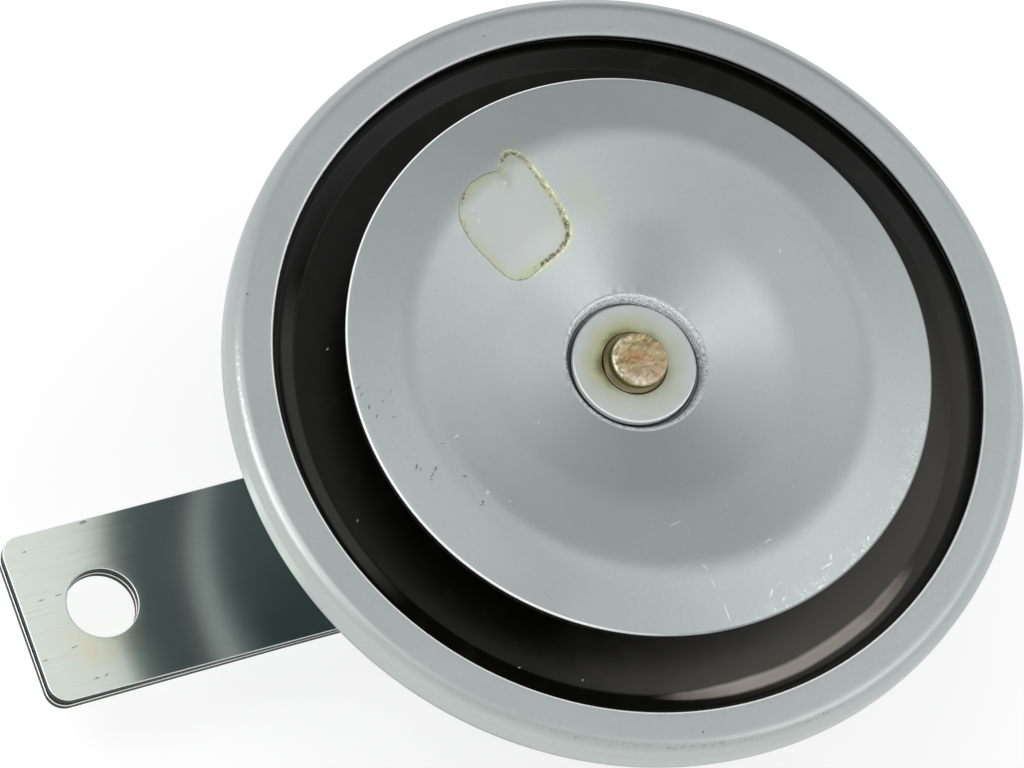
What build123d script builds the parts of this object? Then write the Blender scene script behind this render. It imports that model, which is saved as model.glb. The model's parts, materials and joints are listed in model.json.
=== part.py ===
from build123d import *
import os

os.makedirs("parts", exist_ok=True)

# Electric disc horn on a two leaf spring bracket. All sizes are in millimetres.
# The origin is the centre of the bracket's bolt hole, on the face of the front leaf.
# +Z runs along the sound axis towards the tone disc, +X from the bolt hole to the horn.

# Bracket
bracket_reach = 62.0
bracket_width = 22.25
bracket_end = 10.15
bracket_corner = 2.5
bracket_tail = 12.0
leaf_sheet = 1.0
bolt_hole_radius = 4.5
leaf_bend_reach = 41.0
leaf_gap = 1.1

# Housing shell
shell_sheet = 1.2
shell_bend = 2.5
bowl_depth = 11.93
flange_width = 6.55
bowl_draft = 3.0
bowl_clearance = 5.0
step_height = 21.0
cup_draft = 1.4
cup_clearance = 1.5

# Crimped rim
rim_lip_width = 5.55
rim_back_width = 4.55
rim_sheet = 1.2
rim_bend = 2.0
rear_gasket_thickness = 0.95
front_gasket_thickness = 0.97
gasket_lip = 0.4

# Diaphragm
diaphragm_sheet = 0.45
diaphragm_shoulder_width = 0.9
diaphragm_step_width = 2.3
diaphragm_step_drop = 0.78
diaphragm_crown_width = 8.0
diaphragm_crown_drop = 0.4
diaphragm_bead_width = 3.5
diaphragm_bead_drop = 1.03
diaphragm_seat_margin = 10.0
diaphragm_seat_drop = 1.48
diaphragm_bend = 0.9

# Armature and front stack
stud_radius = 3.99
stud_top_radius = 3.48
stud_foot_height = 0.15
stud_taper_height = 0.35
stud_end_height = 1.66
stud_edge = 0.22
stud_clearance = 0.06
slug_clearance = 0.3
slug_length = 10.7
shoulder_radius = 12.0
shoulder_thickness = 2.5
backing_washer_radius = 10.5
backing_washer_thickness = 0.5
collar_radius = 9.0
collar_height = 2.55
front_washer_radius = 7.75
front_washer_thickness = 1.2
front_washer_edge = 0.25

# Tone disc
sound_gap = 7.93
disc_sheet = 1.5
recess_margin = 0.5
recess_draft = 0.35
recess_depth = 1.6
knee_width = 9.9
knee_rise = 4.05
crest_width = 7.87
crest_rise = 5.4
disc_edge_rise = 4.47
knee_bend = 30.0
crest_bend = 12.0
recess_lip_bend = 0.35
recess_foot_bend = 0.3
disc_edge_round = 0.25

# Magnet core, coil and mounting stud
magnet_gap = 0.9
core_radius = 7.5
core_flange_margin = 1.0
core_flange_thickness = 2.5
mount_stud_radius = 3.9
mount_stud_end = 1.9
mount_stud_chamfer = 0.6
stud_hole_clearance = 0.2
bobbin_wall = 1.2
bobbin_bore_clearance = 0.1
bobbin_flange_margin = 1.5
bobbin_flange_thickness = 1.0
bobbin_arm_clearance = 1.8
winding_depth = 8.2
lead_radius = 0.45
lead_bend = 2.2

# Fasteners under the bracket
washer_radius = 8.0
washer_thickness = 1.6
lock_washer_radius = 7.0
lock_washer_thickness = 2.0
lock_washer_slit = 0.9
nut_across_flats = 13.0
nut_height = 6.5
nut_clearance = 0.05
nut_chamfer_depth = 0.55

# Contact stack, beside the coil on the +X side
stack_clearance = 0.9
stack_length = 7.5
stack_half_width = 5.2
bracket_leg_offset = 6.6
bracket_foot_width = 5.0
contact_bracket_sheet = 1.2
contact_bracket_bend = 0.4
lower_insulator_thickness = 1.0
middle_insulator_thickness = 1.3
upper_insulator_thickness = 0.6
clamp_plate_thickness = 0.8
contact_spring_sheet = 0.3
contact_spring_half_width = 3.0
contact_spring_reach = 10.5
contact_arm_thickness = 1.0
contact_arm_half_width = 3.2
contact_arm_gap = 1.2
fixed_arm_thickness = 0.8
fixed_arm_reach = 8.5
fixed_arm_half_width = 5.0
wing_margin = 2.4
wing_start = 0.6
wing_length = 4.6
contact_inset = 5.0
contact_radius = 2.0
button_inset = 2.0
button_radius = 1.3
button_height = 2.55
button_lash = 0.05
arm_tip_length = 1.6
arm_rivet_inset = 9.0
arm_rivet_spacing = 3.4
arm_rivet_radius = 0.5
arm_rivet_head = 0.3
arm_rivet_head_radius = 1.2
arm_rivet_hole_clearance = 0.3
stack_rivet_radius = 1.0
stack_rivet_spacing = 5.4
stack_rivet_head_radius = 1.7
stack_rivet_head = 0.7
foot_rivet_radius = 1.4
foot_rivet_head_radius = 2.3
foot_rivet_head = 0.8

# Adjusting screw
screw_inset = 1.8
screw_side = 14.0
screw_radius = 1.95
screw_clearance = 0.05
screw_proud = 2.2
screw_slot_width = 0.8
screw_slot_depth = 1.0
bush_radius = 2.7
bush_proud = 1.4
bush_inside = 1.6

# Terminals, on the +Y side of the back
block_seat_clearance = 0.35
terminal_spacing = 9.2
blade_width = 6.3
blade_thickness = 0.8
blade_length = 8.0
blade_tip_chamfer = 1.2
blade_over = 0.4
block_margin = 1.45
block_width = 9.4
block_height = 9.0
block_round = 1.2
block_ear_width = 7.0
block_ear_height = 2.4
block_ear_margin = 2.6
block_boss_margin = 0.75
block_boss_width = 4.0
block_boss_rise = 0.8
block_clearance = 0.1
ear_rivet_spacing = 25.4
ear_rivet_radius = 1.3
ear_rivet_head_radius = 2.3
ear_rivet_head = 0.8

# Radii worked out from the core outwards: coil, cup, contact stack, bowl, flange, rim
bobbin_bore = core_radius + bobbin_bore_clearance
barrel_radius = bobbin_bore + bobbin_wall
winding_radius = barrel_radius + winding_depth
bobbin_flange_radius = winding_radius + bobbin_flange_margin
core_flange_radius = bobbin_flange_radius - core_flange_margin
cup_foot_radius = bobbin_flange_radius + cup_clearance + shell_sheet
cup_top_radius = cup_foot_radius + cup_draft
stack_start = cup_top_radius + shell_bend + stack_clearance
stack_end = stack_start + stack_length
stack_middle = stack_start + stack_length / 2
bowl_foot_radius = stack_end + bowl_clearance
bowl_top_radius = bowl_foot_radius + bowl_draft
clamp_radius = bowl_top_radius + flange_width
rim_radius = clamp_radius + rim_bend
rim_opening_radius = rim_radius - rim_lip_width
rim_back_radius = rim_radius - rim_back_width
shoulder_inset_radius = rim_opening_radius - diaphragm_shoulder_width
diaphragm_step_radius = shoulder_inset_radius - diaphragm_step_width
diaphragm_crown_radius = diaphragm_step_radius - diaphragm_crown_width
diaphragm_seat_radius = backing_washer_radius + diaphragm_seat_margin
diaphragm_bead_radius = diaphragm_seat_radius + diaphragm_bead_width
slug_radius = core_radius - slug_clearance
recess_foot_radius = front_washer_radius + recess_margin
recess_radius = recess_foot_radius + recess_draft
knee_radius = recess_radius + knee_width
disc_radius = rim_opening_radius - sound_gap
crest_radius = disc_radius - crest_width
mount_hole_radius = mount_stud_radius + stud_hole_clearance
terminal_offset = cup_top_radius + shell_bend + block_seat_clearance + block_width / 2
block_length = terminal_spacing + blade_width + block_margin + block_margin
block_boss_length = block_length - block_boss_margin - block_boss_margin
block_ear_length = ear_rivet_spacing + block_ear_margin + block_ear_margin

# Places along the contact arm, measured from the horn axis
contact_position = stack_start - contact_inset
arm_rivet_position = stack_start - arm_rivet_inset
arm_root = stack_start - contact_arm_gap
button_position = shoulder_radius - button_inset
arm_tip_radius = button_position - arm_tip_length
bracket_foot_offset = bracket_leg_offset + bracket_foot_width
foot_rivet_offset = bracket_leg_offset + bracket_foot_width / 2
screw_reach = stack_start - screw_inset
wing_reach = screw_side + wing_margin

# Heights worked out from the sizes above
flange_height = step_height + bowl_depth
flange_top = flange_height + shell_sheet
diaphragm_back = flange_top + rear_gasket_thickness
diaphragm_front = diaphragm_back + diaphragm_sheet
rim_under = diaphragm_front + front_gasket_thickness
ring_height = rim_under + rim_sheet
rim_back = flange_height - rim_sheet
seat_top = diaphragm_front - diaphragm_seat_drop
seat_under = seat_top - diaphragm_sheet
disc_under = seat_top + collar_height
disc_floor = disc_under + disc_sheet
washer_top = disc_floor + front_washer_thickness
stud_top = washer_top + stud_end_height
shoulder_top = seat_under - backing_washer_thickness
shoulder_under = shoulder_top - shoulder_thickness
slug_under = shoulder_under - slug_length
core_top = slug_under - magnet_gap
core_flange_top = shell_sheet + core_flange_thickness
step_floor = step_height + shell_sheet
button_top = shoulder_under - button_lash
spring_under = button_top - button_height
spring_top = spring_under + contact_spring_sheet
platform_top = spring_under - lower_insulator_thickness
fixed_arm_under = spring_top + middle_insulator_thickness
fixed_arm_top = fixed_arm_under + fixed_arm_thickness
clamp_under = fixed_arm_top + upper_insulator_thickness
clamp_top = clamp_under + clamp_plate_thickness
contact_meet = (spring_top + fixed_arm_under) / 2
arm_under = spring_under - contact_arm_thickness
bobbin_top = arm_under - bobbin_arm_clearance
winding_low = core_flange_top + bobbin_flange_thickness
winding_high = bobbin_top - bobbin_flange_thickness
leaves_under = -leaf_sheet - leaf_sheet
washer_under = leaves_under - washer_thickness
lock_washer_under = washer_under - lock_washer_thickness
nut_under = lock_washer_under - nut_height
mount_stud_under = nut_under - mount_stud_end
lead_height = spring_under + contact_spring_sheet / 2
blade_root = step_height - block_height
blade_tip = blade_root - blade_length
blade_top = lead_height + lead_radius + blade_over

# Half section through the horn axis: the sketch's X is the radius, its Y is the height
horn_section = Plane(origin=(bracket_reach, 0, 0), x_dir=(1, 0, 0), z_dir=(0, -1, 0))
horn_axis = Axis((bracket_reach, 0, 0), (0, 0, 1))


def horn_plane(height):
    """A level plane centred on the horn axis."""
    return Plane(origin=(bracket_reach, 0, height))


def ring_section(inner, outer, low, high):
    """Half section of a turned ring on the horn axis."""
    with BuildSketch(horn_section) as section:
        with BuildLine():
            Polyline((inner, low), (outer, low), (outer, high), (inner, high), close=True)
        make_face()
    return section.sketch


# Housing shell: one stamping, flange, shallow bowl, flat step and deep centre cup
with BuildPart() as housing_shell:
    with BuildSketch(horn_section):
        with BuildLine():
            FilletPolyline(
                (clamp_radius, flange_height),
                (bowl_top_radius, flange_height),
                (bowl_foot_radius, step_height),
                (cup_top_radius, step_height),
                (cup_foot_radius, 0),
                (mount_hole_radius, 0),
                radius=shell_bend,
            )
            offset(amount=shell_sheet, side=Side.RIGHT)
        make_face()
    revolve(axis=horn_axis)
    # slot for the terminal block's boss
    with BuildSketch(horn_plane(step_height)):
        with Locations((0, terminal_offset)):
            Rectangle(block_boss_length, block_boss_width)
    extrude(amount=shell_sheet, mode=Mode.SUBTRACT)
    # holes for the terminal rivets, the foot rivets and the adjusting bush
    with BuildSketch(horn_plane(step_height)):
        with Locations((0, terminal_offset)):
            with GridLocations(ear_rivet_spacing, 0, 2, 1):
                Circle(ear_rivet_radius)
        with Locations((stack_middle, foot_rivet_offset), (stack_middle, -foot_rivet_offset)):
            Circle(foot_rivet_radius)
        with Locations((screw_reach, screw_side)):
            Circle(bush_radius)
    extrude(amount=shell_sheet, mode=Mode.SUBTRACT)

# Rim ring: sheet metal channel rolled over the flange, gaskets and diaphragm
with BuildPart() as rim_ring:
    with BuildSketch(horn_section):
        with BuildLine():
            FilletPolyline(
                (rim_opening_radius, ring_height),
                (rim_radius, ring_height),
                (rim_radius, rim_back),
                (rim_back_radius, rim_back),
                radius=rim_bend,
            )
            offset(amount=rim_sheet, side=Side.RIGHT)
        make_face()
    revolve(axis=horn_axis)

with BuildPart() as rear_gasket:
    revolve(ring_section(rim_opening_radius + gasket_lip, clamp_radius, flange_top, diaphragm_back), axis=horn_axis)

with BuildPart() as front_gasket:
    revolve(ring_section(rim_opening_radius + gasket_lip, clamp_radius, diaphragm_front, rim_under), axis=horn_axis)

# Diaphragm: clamped margin, shoulder, step and a shallow bead down to the centre seat
diaphragm_points = [
    (clamp_radius, diaphragm_front),
    (shoulder_inset_radius, diaphragm_front),
    (diaphragm_step_radius, diaphragm_front - diaphragm_step_drop),
    (diaphragm_crown_radius, diaphragm_front - diaphragm_crown_drop),
    (diaphragm_bead_radius, diaphragm_front - diaphragm_bead_drop),
    (diaphragm_seat_radius, seat_top),
    (stud_radius + stud_clearance, seat_top),
]
with BuildPart() as diaphragm:
    with BuildSketch(horn_section):
        with BuildLine():
            FilletPolyline(
                diaphragm_points + [(r, z - diaphragm_sheet) for r, z in reversed(diaphragm_points)],
                radius=[diaphragm_bend if 0 < i < 6 or 7 < i < 13 else 0 for i in range(14)],
                close=True,
            )
        make_face()
    revolve(axis=horn_axis)

# Armature: slug in the coil, shoulder under the diaphragm, stud peened over in front
with BuildPart() as armature:
    with BuildSketch(horn_section):
        with BuildLine():
            Polyline(
                (0, slug_under),
                (slug_radius, slug_under),
                (slug_radius, shoulder_under),
                (shoulder_radius, shoulder_under),
                (shoulder_radius, shoulder_top),
                (stud_radius, shoulder_top),
                (stud_radius, washer_top + stud_foot_height),
                (stud_top_radius, washer_top + stud_foot_height + stud_taper_height),
                (stud_top_radius, stud_top - stud_edge),
                (stud_top_radius - stud_edge, stud_top),
                (0, stud_top),
                close=True,
            )
        make_face()
    revolve(axis=horn_axis)

with BuildPart() as diaphragm_washer:
    revolve(ring_section(stud_radius + stud_clearance, backing_washer_radius, shoulder_top, seat_under), axis=horn_axis)

with BuildPart() as spacer_collar:
    revolve(ring_section(stud_radius + stud_clearance, collar_radius, seat_top, disc_under), axis=horn_axis)

# Tone disc: stepped centre recess, shallow funnel, raised crease and sloping edge
disc_front = [
    (stud_radius + stud_clearance, disc_floor),
    (recess_foot_radius, disc_floor),
    (recess_radius, disc_floor + recess_depth),
    (knee_radius, disc_floor + knee_rise),
    (crest_radius, disc_floor + crest_rise),
    (disc_radius, disc_floor + disc_edge_rise),
]
disc_back = [
    (disc_radius, disc_floor + disc_edge_rise - disc_sheet),
    (crest_radius, disc_floor + crest_rise - disc_sheet),
    (knee_radius, disc_floor + knee_rise - disc_sheet),
    (recess_radius + disc_sheet, disc_floor + recess_depth - disc_sheet + recess_foot_bend),
    (recess_foot_radius + disc_sheet, disc_under),
    (stud_radius + stud_clearance, disc_under),
]
disc_bends = [0, recess_foot_bend, recess_lip_bend, knee_bend, crest_bend, disc_edge_round]
disc_back_bends = [0, crest_bend, knee_bend, recess_lip_bend, recess_foot_bend, 0]
with BuildPart() as tone_disc:
    with BuildSketch(horn_section):
        with BuildLine():
            FilletPolyline(disc_front + disc_back, radius=disc_bends + disc_back_bends, close=True)
        make_face()
    revolve(axis=horn_axis)

with BuildPart() as front_washer:
    revolve(ring_section(stud_radius + stud_clearance, front_washer_radius, disc_floor, washer_top), axis=horn_axis)
    chamfer(front_washer.edges().group_by(Axis.Z)[-1].sort_by(SortBy.RADIUS)[-1], front_washer_edge)

# Pole core: turned core with its flange on the cup floor and the mounting stud behind
with BuildPart() as pole_core:
    with BuildSketch(horn_section):
        with BuildLine():
            Polyline(
                (0, mount_stud_under),
                (mount_stud_radius - mount_stud_chamfer, mount_stud_under),
                (mount_stud_radius, mount_stud_under + mount_stud_chamfer),
                (mount_stud_radius, shell_sheet),
                (core_flange_radius, shell_sheet),
                (core_flange_radius, core_flange_top),
                (core_radius, core_flange_top),
                (core_radius, core_top),
                (0, core_top),
                close=True,
            )
        make_face()
    revolve(axis=horn_axis)

# Coil bobbin and its winding
with BuildPart() as coil_bobbin:
    with BuildSketch(horn_section):
        with BuildLine():
            Polyline(
                (bobbin_bore, core_flange_top),
                (bobbin_flange_radius, core_flange_top),
                (bobbin_flange_radius, winding_low),
                (barrel_radius, winding_low),
                (barrel_radius, winding_high),
                (bobbin_flange_radius, winding_high),
                (bobbin_flange_radius, bobbin_top),
                (bobbin_bore, bobbin_top),
                close=True,
            )
        make_face()
    revolve(axis=horn_axis)

with BuildPart() as coil_winding:
    revolve(ring_section(barrel_radius, winding_radius, winding_low, winding_high), axis=horn_axis)

# Contact bracket: bent foot, its two feet on the shell's step, extruded along the stack
stack_section = Plane(origin=(bracket_reach + stack_start, 0, 0), x_dir=(0, 1, 0), z_dir=(1, 0, 0))
with BuildPart() as contact_bracket:
    with BuildSketch(stack_section):
        with BuildLine():
            FilletPolyline(
                (-bracket_foot_offset, step_floor),
                (-bracket_leg_offset + contact_bracket_sheet, step_floor),
                (-bracket_leg_offset + contact_bracket_sheet, platform_top - contact_bracket_sheet),
                (bracket_leg_offset - contact_bracket_sheet, platform_top - contact_bracket_sheet),
                (bracket_leg_offset - contact_bracket_sheet, step_floor),
                (bracket_foot_offset, step_floor),
                radius=[
                    contact_bracket_bend + contact_bracket_sheet,
                    contact_bracket_bend,
                    contact_bracket_bend,
                    contact_bracket_bend + contact_bracket_sheet,
                ],
            )
            offset(amount=contact_bracket_sheet, side=Side.LEFT)
        make_face()
    extrude(amount=stack_length)
    with BuildSketch(horn_plane(step_floor)):
        with Locations((stack_middle, foot_rivet_offset), (stack_middle, -foot_rivet_offset)):
            Circle(foot_rivet_radius)
    extrude(amount=contact_bracket_sheet, mode=Mode.SUBTRACT)
    with BuildSketch(horn_plane(platform_top)):
        with Locations((stack_middle, 0)):
            with GridLocations(0, stack_rivet_spacing, 1, 2):
                Circle(stack_rivet_radius)
    extrude(amount=-contact_bracket_sheet, mode=Mode.SUBTRACT)

# Two rivets hold the bracket's feet to the shell
with BuildPart() as bracket_rivets:
    with BuildSketch(horn_plane(step_height - foot_rivet_head)):
        with Locations((stack_middle, foot_rivet_offset), (stack_middle, -foot_rivet_offset)):
            Circle(foot_rivet_head_radius)
    extrude(amount=foot_rivet_head)
    with BuildSketch(horn_plane(step_height)):
        with Locations((stack_middle, foot_rivet_offset), (stack_middle, -foot_rivet_offset)):
            Circle(foot_rivet_radius)
    extrude(amount=shell_sheet + contact_bracket_sheet)
    with BuildSketch(horn_plane(step_floor + contact_bracket_sheet)):
        with Locations((stack_middle, foot_rivet_offset), (stack_middle, -foot_rivet_offset)):
            Circle(foot_rivet_head_radius)
    extrude(amount=foot_rivet_head)


def strip_outline(low):
    """Outline of a strip in the contact stack, with its two rivet holes, at a height."""
    with BuildSketch(horn_plane(low)) as outline:
        with Locations((stack_middle, 0)):
            Rectangle(stack_length, stack_half_width + stack_half_width)
            with GridLocations(0, stack_rivet_spacing, 1, 2):
                Circle(stack_rivet_radius, mode=Mode.SUBTRACT)
    return outline.sketch


with BuildPart() as lower_insulator:
    extrude(strip_outline(platform_top), amount=lower_insulator_thickness)

with BuildPart() as middle_insulator:
    extrude(strip_outline(spring_top), amount=middle_insulator_thickness)

with BuildPart() as upper_insulator:
    extrude(strip_outline(fixed_arm_top), amount=upper_insulator_thickness)

with BuildPart() as clamp_plate:
    extrude(strip_outline(clamp_under), amount=clamp_plate_thickness)

# Contact spring: clamped in the stack, it carries the contact arm
with BuildPart() as contact_spring:
    extrude(strip_outline(spring_under), amount=contact_spring_sheet)
    with BuildSketch(horn_plane(spring_under)):
        with Locations((stack_start - contact_spring_reach / 2, 0)):
            Rectangle(contact_spring_reach, contact_spring_half_width + contact_spring_half_width)
        with Locations((arm_rivet_position, 0)):
            with GridLocations(0, arm_rivet_spacing, 1, 2):
                Circle(arm_rivet_radius + arm_rivet_hole_clearance, mode=Mode.SUBTRACT)
    extrude(amount=contact_spring_sheet)

# Fixed contact arm: from the stack over the moving contact, with a wing for the screw
with BuildPart() as fixed_contact_arm:
    extrude(strip_outline(fixed_arm_under), amount=fixed_arm_thickness)
    with BuildSketch(horn_plane(fixed_arm_under)):
        with Locations((stack_start - fixed_arm_reach / 2, 0)):
            Rectangle(fixed_arm_reach, fixed_arm_half_width + fixed_arm_half_width)
        with Locations((stack_start - wing_start, 0)):
            Rectangle(wing_length, wing_reach, align=(Align.MAX, Align.MIN))
    extrude(amount=fixed_arm_thickness)

with BuildPart() as fixed_contact_point:
    with BuildSketch(horn_plane(contact_meet)):
        with Locations((contact_position, 0)):
            Circle(contact_radius)
    extrude(amount=fixed_arm_under - contact_meet)

with BuildPart() as moving_contact_point:
    with BuildSketch(horn_plane(spring_top)):
        with Locations((contact_position, 0)):
            Circle(contact_radius)
    extrude(amount=contact_meet - spring_top)

# Contact arm: stiff lever under the spring, its tip under the armature's shoulder
with BuildPart() as contact_arm:
    with BuildSketch(horn_plane(arm_under)):
        with BuildLine():
            Polyline(
                (arm_tip_radius, -button_radius),
                (button_position + button_radius, -contact_arm_half_width),
                (arm_root, -contact_arm_half_width),
                (arm_root, contact_arm_half_width),
                (button_position + button_radius, contact_arm_half_width),
                (arm_tip_radius, button_radius),
                close=True,
            )
        make_face()
        with Locations((arm_rivet_position, 0)):
            with GridLocations(0, arm_rivet_spacing, 1, 2):
                Circle(arm_rivet_radius, mode=Mode.SUBTRACT)
    extrude(amount=contact_arm_thickness)

with BuildPart() as arm_rivets:
    with BuildSketch(horn_plane(arm_under)):
        with Locations((arm_rivet_position, 0)):
            with GridLocations(0, arm_rivet_spacing, 1, 2):
                Circle(arm_rivet_radius)
    extrude(amount=contact_arm_thickness + contact_spring_sheet)
    with BuildSketch(horn_plane(spring_top)):
        with Locations((arm_rivet_position, 0)):
            with GridLocations(0, arm_rivet_spacing, 1, 2):
                Circle(arm_rivet_head_radius)
    extrude(amount=arm_rivet_head)

# Button: a round bar across the arm's tip, its top just under the shoulder
button_section = Plane(
    origin=(bracket_reach + button_position, button_radius, 0), x_dir=(1, 0, 0), z_dir=(0, -1, 0)
)
button_centre = button_top - button_radius
with BuildPart() as arm_button:
    with BuildSketch(button_section):
        with BuildLine():
            Polyline(
                (-button_radius, button_centre),
                (-button_radius, spring_under),
                (button_radius, spring_under),
                (button_radius, button_centre),
            )
            ThreePointArc(
                (button_radius, button_centre),
                (0, button_centre + button_radius),
                (-button_radius, button_centre),
            )
        make_face()
    extrude(amount=button_radius + button_radius)

# Two rivets clamp the stack to the bracket's platform
with BuildPart() as stack_rivets:
    platform_under = platform_top - contact_bracket_sheet
    with BuildSketch(horn_plane(platform_under - stack_rivet_head)):
        with Locations((stack_middle, 0)):
            with GridLocations(0, stack_rivet_spacing, 1, 2):
                Circle(stack_rivet_head_radius)
    extrude(amount=stack_rivet_head)
    with BuildSketch(horn_plane(platform_under)):
        with Locations((stack_middle, 0)):
            with GridLocations(0, stack_rivet_spacing, 1, 2):
                Circle(stack_rivet_radius)
    extrude(amount=clamp_top - platform_under)
    with BuildSketch(horn_plane(clamp_top)):
        with Locations((stack_middle, 0)):
            with GridLocations(0, stack_rivet_spacing, 1, 2):
                Circle(stack_rivet_head_radius)
    extrude(amount=stack_rivet_head)

# Adjusting bush pressed in the step, and the screw that bears on the fixed arm's wing
with BuildPart() as adjusting_bush:
    with BuildSketch(horn_plane(step_height - bush_proud)):
        with Locations((screw_reach, screw_side)):
            Circle(bush_radius)
            Circle(screw_radius + screw_clearance, mode=Mode.SUBTRACT)
    extrude(amount=bush_proud + shell_sheet + bush_inside)

with BuildPart() as adjusting_screw:
    screw_under = step_height - bush_proud - screw_proud
    with BuildSketch(horn_plane(screw_under)):
        with Locations((screw_reach, screw_side)):
            Circle(screw_radius)
    extrude(amount=fixed_arm_under - screw_under)
    with BuildSketch(horn_plane(screw_under)):
        with Locations((screw_reach, screw_side)):
            Rectangle(screw_radius + screw_radius, screw_slot_width)
    extrude(amount=screw_slot_depth, mode=Mode.SUBTRACT)

# Terminal block: ears against the shell's step, a boss through its slot, a skirt behind
with BuildPart() as terminal_block:
    with BuildSketch(horn_plane(step_height)):
        with Locations((0, terminal_offset)):
            RectangleRounded(block_length, block_width, block_round)
    extrude(amount=-block_height)
    with BuildSketch(horn_plane(step_height)):
        with Locations((0, terminal_offset)):
            RectangleRounded(block_ear_length, block_ear_width, block_round)
    extrude(amount=-block_ear_height)
    with BuildSketch(horn_plane(step_height)):
        with Locations((0, terminal_offset)):
            Rectangle(block_boss_length - block_clearance, block_boss_width - block_clearance)
    extrude(amount=shell_sheet + block_boss_rise)
    with BuildSketch(horn_plane(blade_root)):
        with Locations((0, terminal_offset)):
            with GridLocations(terminal_spacing, 0, 2, 1):
                Rectangle(blade_width, blade_thickness)
    extrude(amount=block_height + shell_sheet + block_boss_rise, mode=Mode.SUBTRACT)
    with BuildSketch(horn_plane(step_height)):
        with Locations((0, terminal_offset)):
            with GridLocations(ear_rivet_spacing, 0, 2, 1):
                Circle(ear_rivet_radius)
    extrude(amount=-block_ear_height, mode=Mode.SUBTRACT)

with BuildPart() as terminal_blade_a:
    with BuildSketch(horn_plane(blade_tip)):
        with Locations((-terminal_spacing / 2, terminal_offset)):
            Rectangle(blade_width, blade_thickness)
    extrude(amount=blade_top - blade_tip)
    chamfer(
        terminal_blade_a.edges().group_by(Axis.Z)[0].filter_by(Axis.Y),
        blade_tip_chamfer,
    )

with BuildPart() as terminal_blade_b:
    with BuildSketch(horn_plane(blade_tip)):
        with Locations((terminal_spacing / 2, terminal_offset)):
            Rectangle(blade_width, blade_thickness)
    extrude(amount=blade_top - blade_tip)
    chamfer(
        terminal_blade_b.edges().group_by(Axis.Z)[0].filter_by(Axis.Y),
        blade_tip_chamfer,
    )

with BuildPart() as terminal_rivets:
    ear_under = step_height - block_ear_height
    for low, radius, height in (
        (ear_under - ear_rivet_head, ear_rivet_head_radius, ear_rivet_head),
        (ear_under, ear_rivet_radius, block_ear_height + shell_sheet),
        (step_floor, ear_rivet_head_radius, ear_rivet_head),
    ):
        with BuildSketch(horn_plane(low)):
            with Locations((0, terminal_offset)):
                with GridLocations(ear_rivet_spacing, 0, 2, 1):
                    Circle(radius)
        extrude(amount=height)

# Leads: two from the winding, to a terminal and to the contact spring, and one from the
# other terminal to the fixed contact arm's wing
lead_start = barrel_radius + winding_depth / 2
blade_face = terminal_offset - blade_thickness / 2
first_lead_x = bracket_reach - terminal_spacing / 2
second_lead_x = bracket_reach + button_position
second_lead_y = -bracket_foot_offset
spring_lead_x = bracket_reach + stack_middle
with BuildPart() as coil_leads:
    with BuildLine() as first_lead:
        FilletPolyline(
            (first_lead_x, lead_start, bobbin_top),
            (first_lead_x, lead_start, lead_height),
            (first_lead_x, blade_face, lead_height),
            radius=lead_bend,
        )
    with BuildSketch(Plane(origin=first_lead.line @ 0, z_dir=first_lead.line % 0)):
        Circle(lead_radius)
    sweep(path=first_lead.line)
    with BuildLine() as second_lead:
        FilletPolyline(
            (second_lead_x, second_lead_y, bobbin_top),
            (second_lead_x, second_lead_y, lead_height),
            (spring_lead_x, second_lead_y, lead_height),
            (spring_lead_x, -stack_half_width, lead_height),
            radius=lead_bend,
        )
    with BuildSketch(Plane(origin=second_lead.line @ 0, z_dir=second_lead.line % 0)):
        Circle(lead_radius)
    sweep(path=second_lead.line)

wing_edge = bracket_reach + stack_start - wing_start - wing_length
wing_lead_y = wing_reach - lead_bend
wing_lead_z = fixed_arm_under + fixed_arm_thickness / 2
with BuildPart() as contact_lead:
    with BuildLine() as third_lead:
        FilletPolyline(
            (bracket_reach + terminal_spacing / 2, blade_face, lead_height),
            (bracket_reach + terminal_spacing / 2, terminal_offset - block_width, lead_height),
            (bracket_reach + button_position, wing_lead_y, wing_lead_z),
            (wing_edge, wing_lead_y, wing_lead_z),
            radius=lead_bend,
        )
    with BuildSketch(Plane(origin=third_lead.line @ 0, z_dir=third_lead.line % 0)):
        Circle(lead_radius)
    sweep(path=third_lead.line)

# Spring bracket: two flat strips, the rear one bent away towards the bolt hole
strip_length = bracket_end + bracket_reach + bracket_tail
with BuildPart() as bracket_front_leaf:
    with BuildSketch():
        with Locations((-bracket_end, 0)):
            Rectangle(strip_length, bracket_width, align=(Align.MIN, Align.CENTER))
        fillet(vertices(), bracket_corner)
        Circle(bolt_hole_radius, mode=Mode.SUBTRACT)
        with Locations((bracket_reach, 0)):
            Circle(mount_hole_radius, mode=Mode.SUBTRACT)
    extrude(amount=-leaf_sheet)

bend_place = bracket_reach - leaf_bend_reach
with BuildPart() as bracket_rear_leaf:
    with BuildSketch(Plane(origin=(0, bracket_width / 2, 0), x_dir=(1, 0, 0), z_dir=(0, -1, 0))):
        with BuildLine():
            Polyline(
                (-bracket_end, -leaf_sheet - leaf_gap),
                (bend_place, -leaf_sheet),
                (bracket_reach + bracket_tail, -leaf_sheet),
                (bracket_reach + bracket_tail, leaves_under),
                (bend_place, leaves_under),
                (-bracket_end, leaves_under - leaf_gap),
                close=True,
            )
        make_face()
    extrude(amount=bracket_width)
    fillet(bracket_rear_leaf.edges().filter_by(lambda e: abs(e.length - leaf_sheet) < leaf_sheet / 9), bracket_corner)
    with BuildSketch(Plane.XY.offset(leaves_under - leaf_gap)):
        Circle(bolt_hole_radius)
        with Locations((bracket_reach, 0)):
            Circle(mount_hole_radius)
    extrude(amount=leaf_gap + leaf_sheet, mode=Mode.SUBTRACT)

# Flat washer, split lock washer and nut on the mounting stud
with BuildPart() as flat_washer:
    revolve(ring_section(mount_hole_radius, washer_radius, washer_under, leaves_under), axis=horn_axis)

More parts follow.
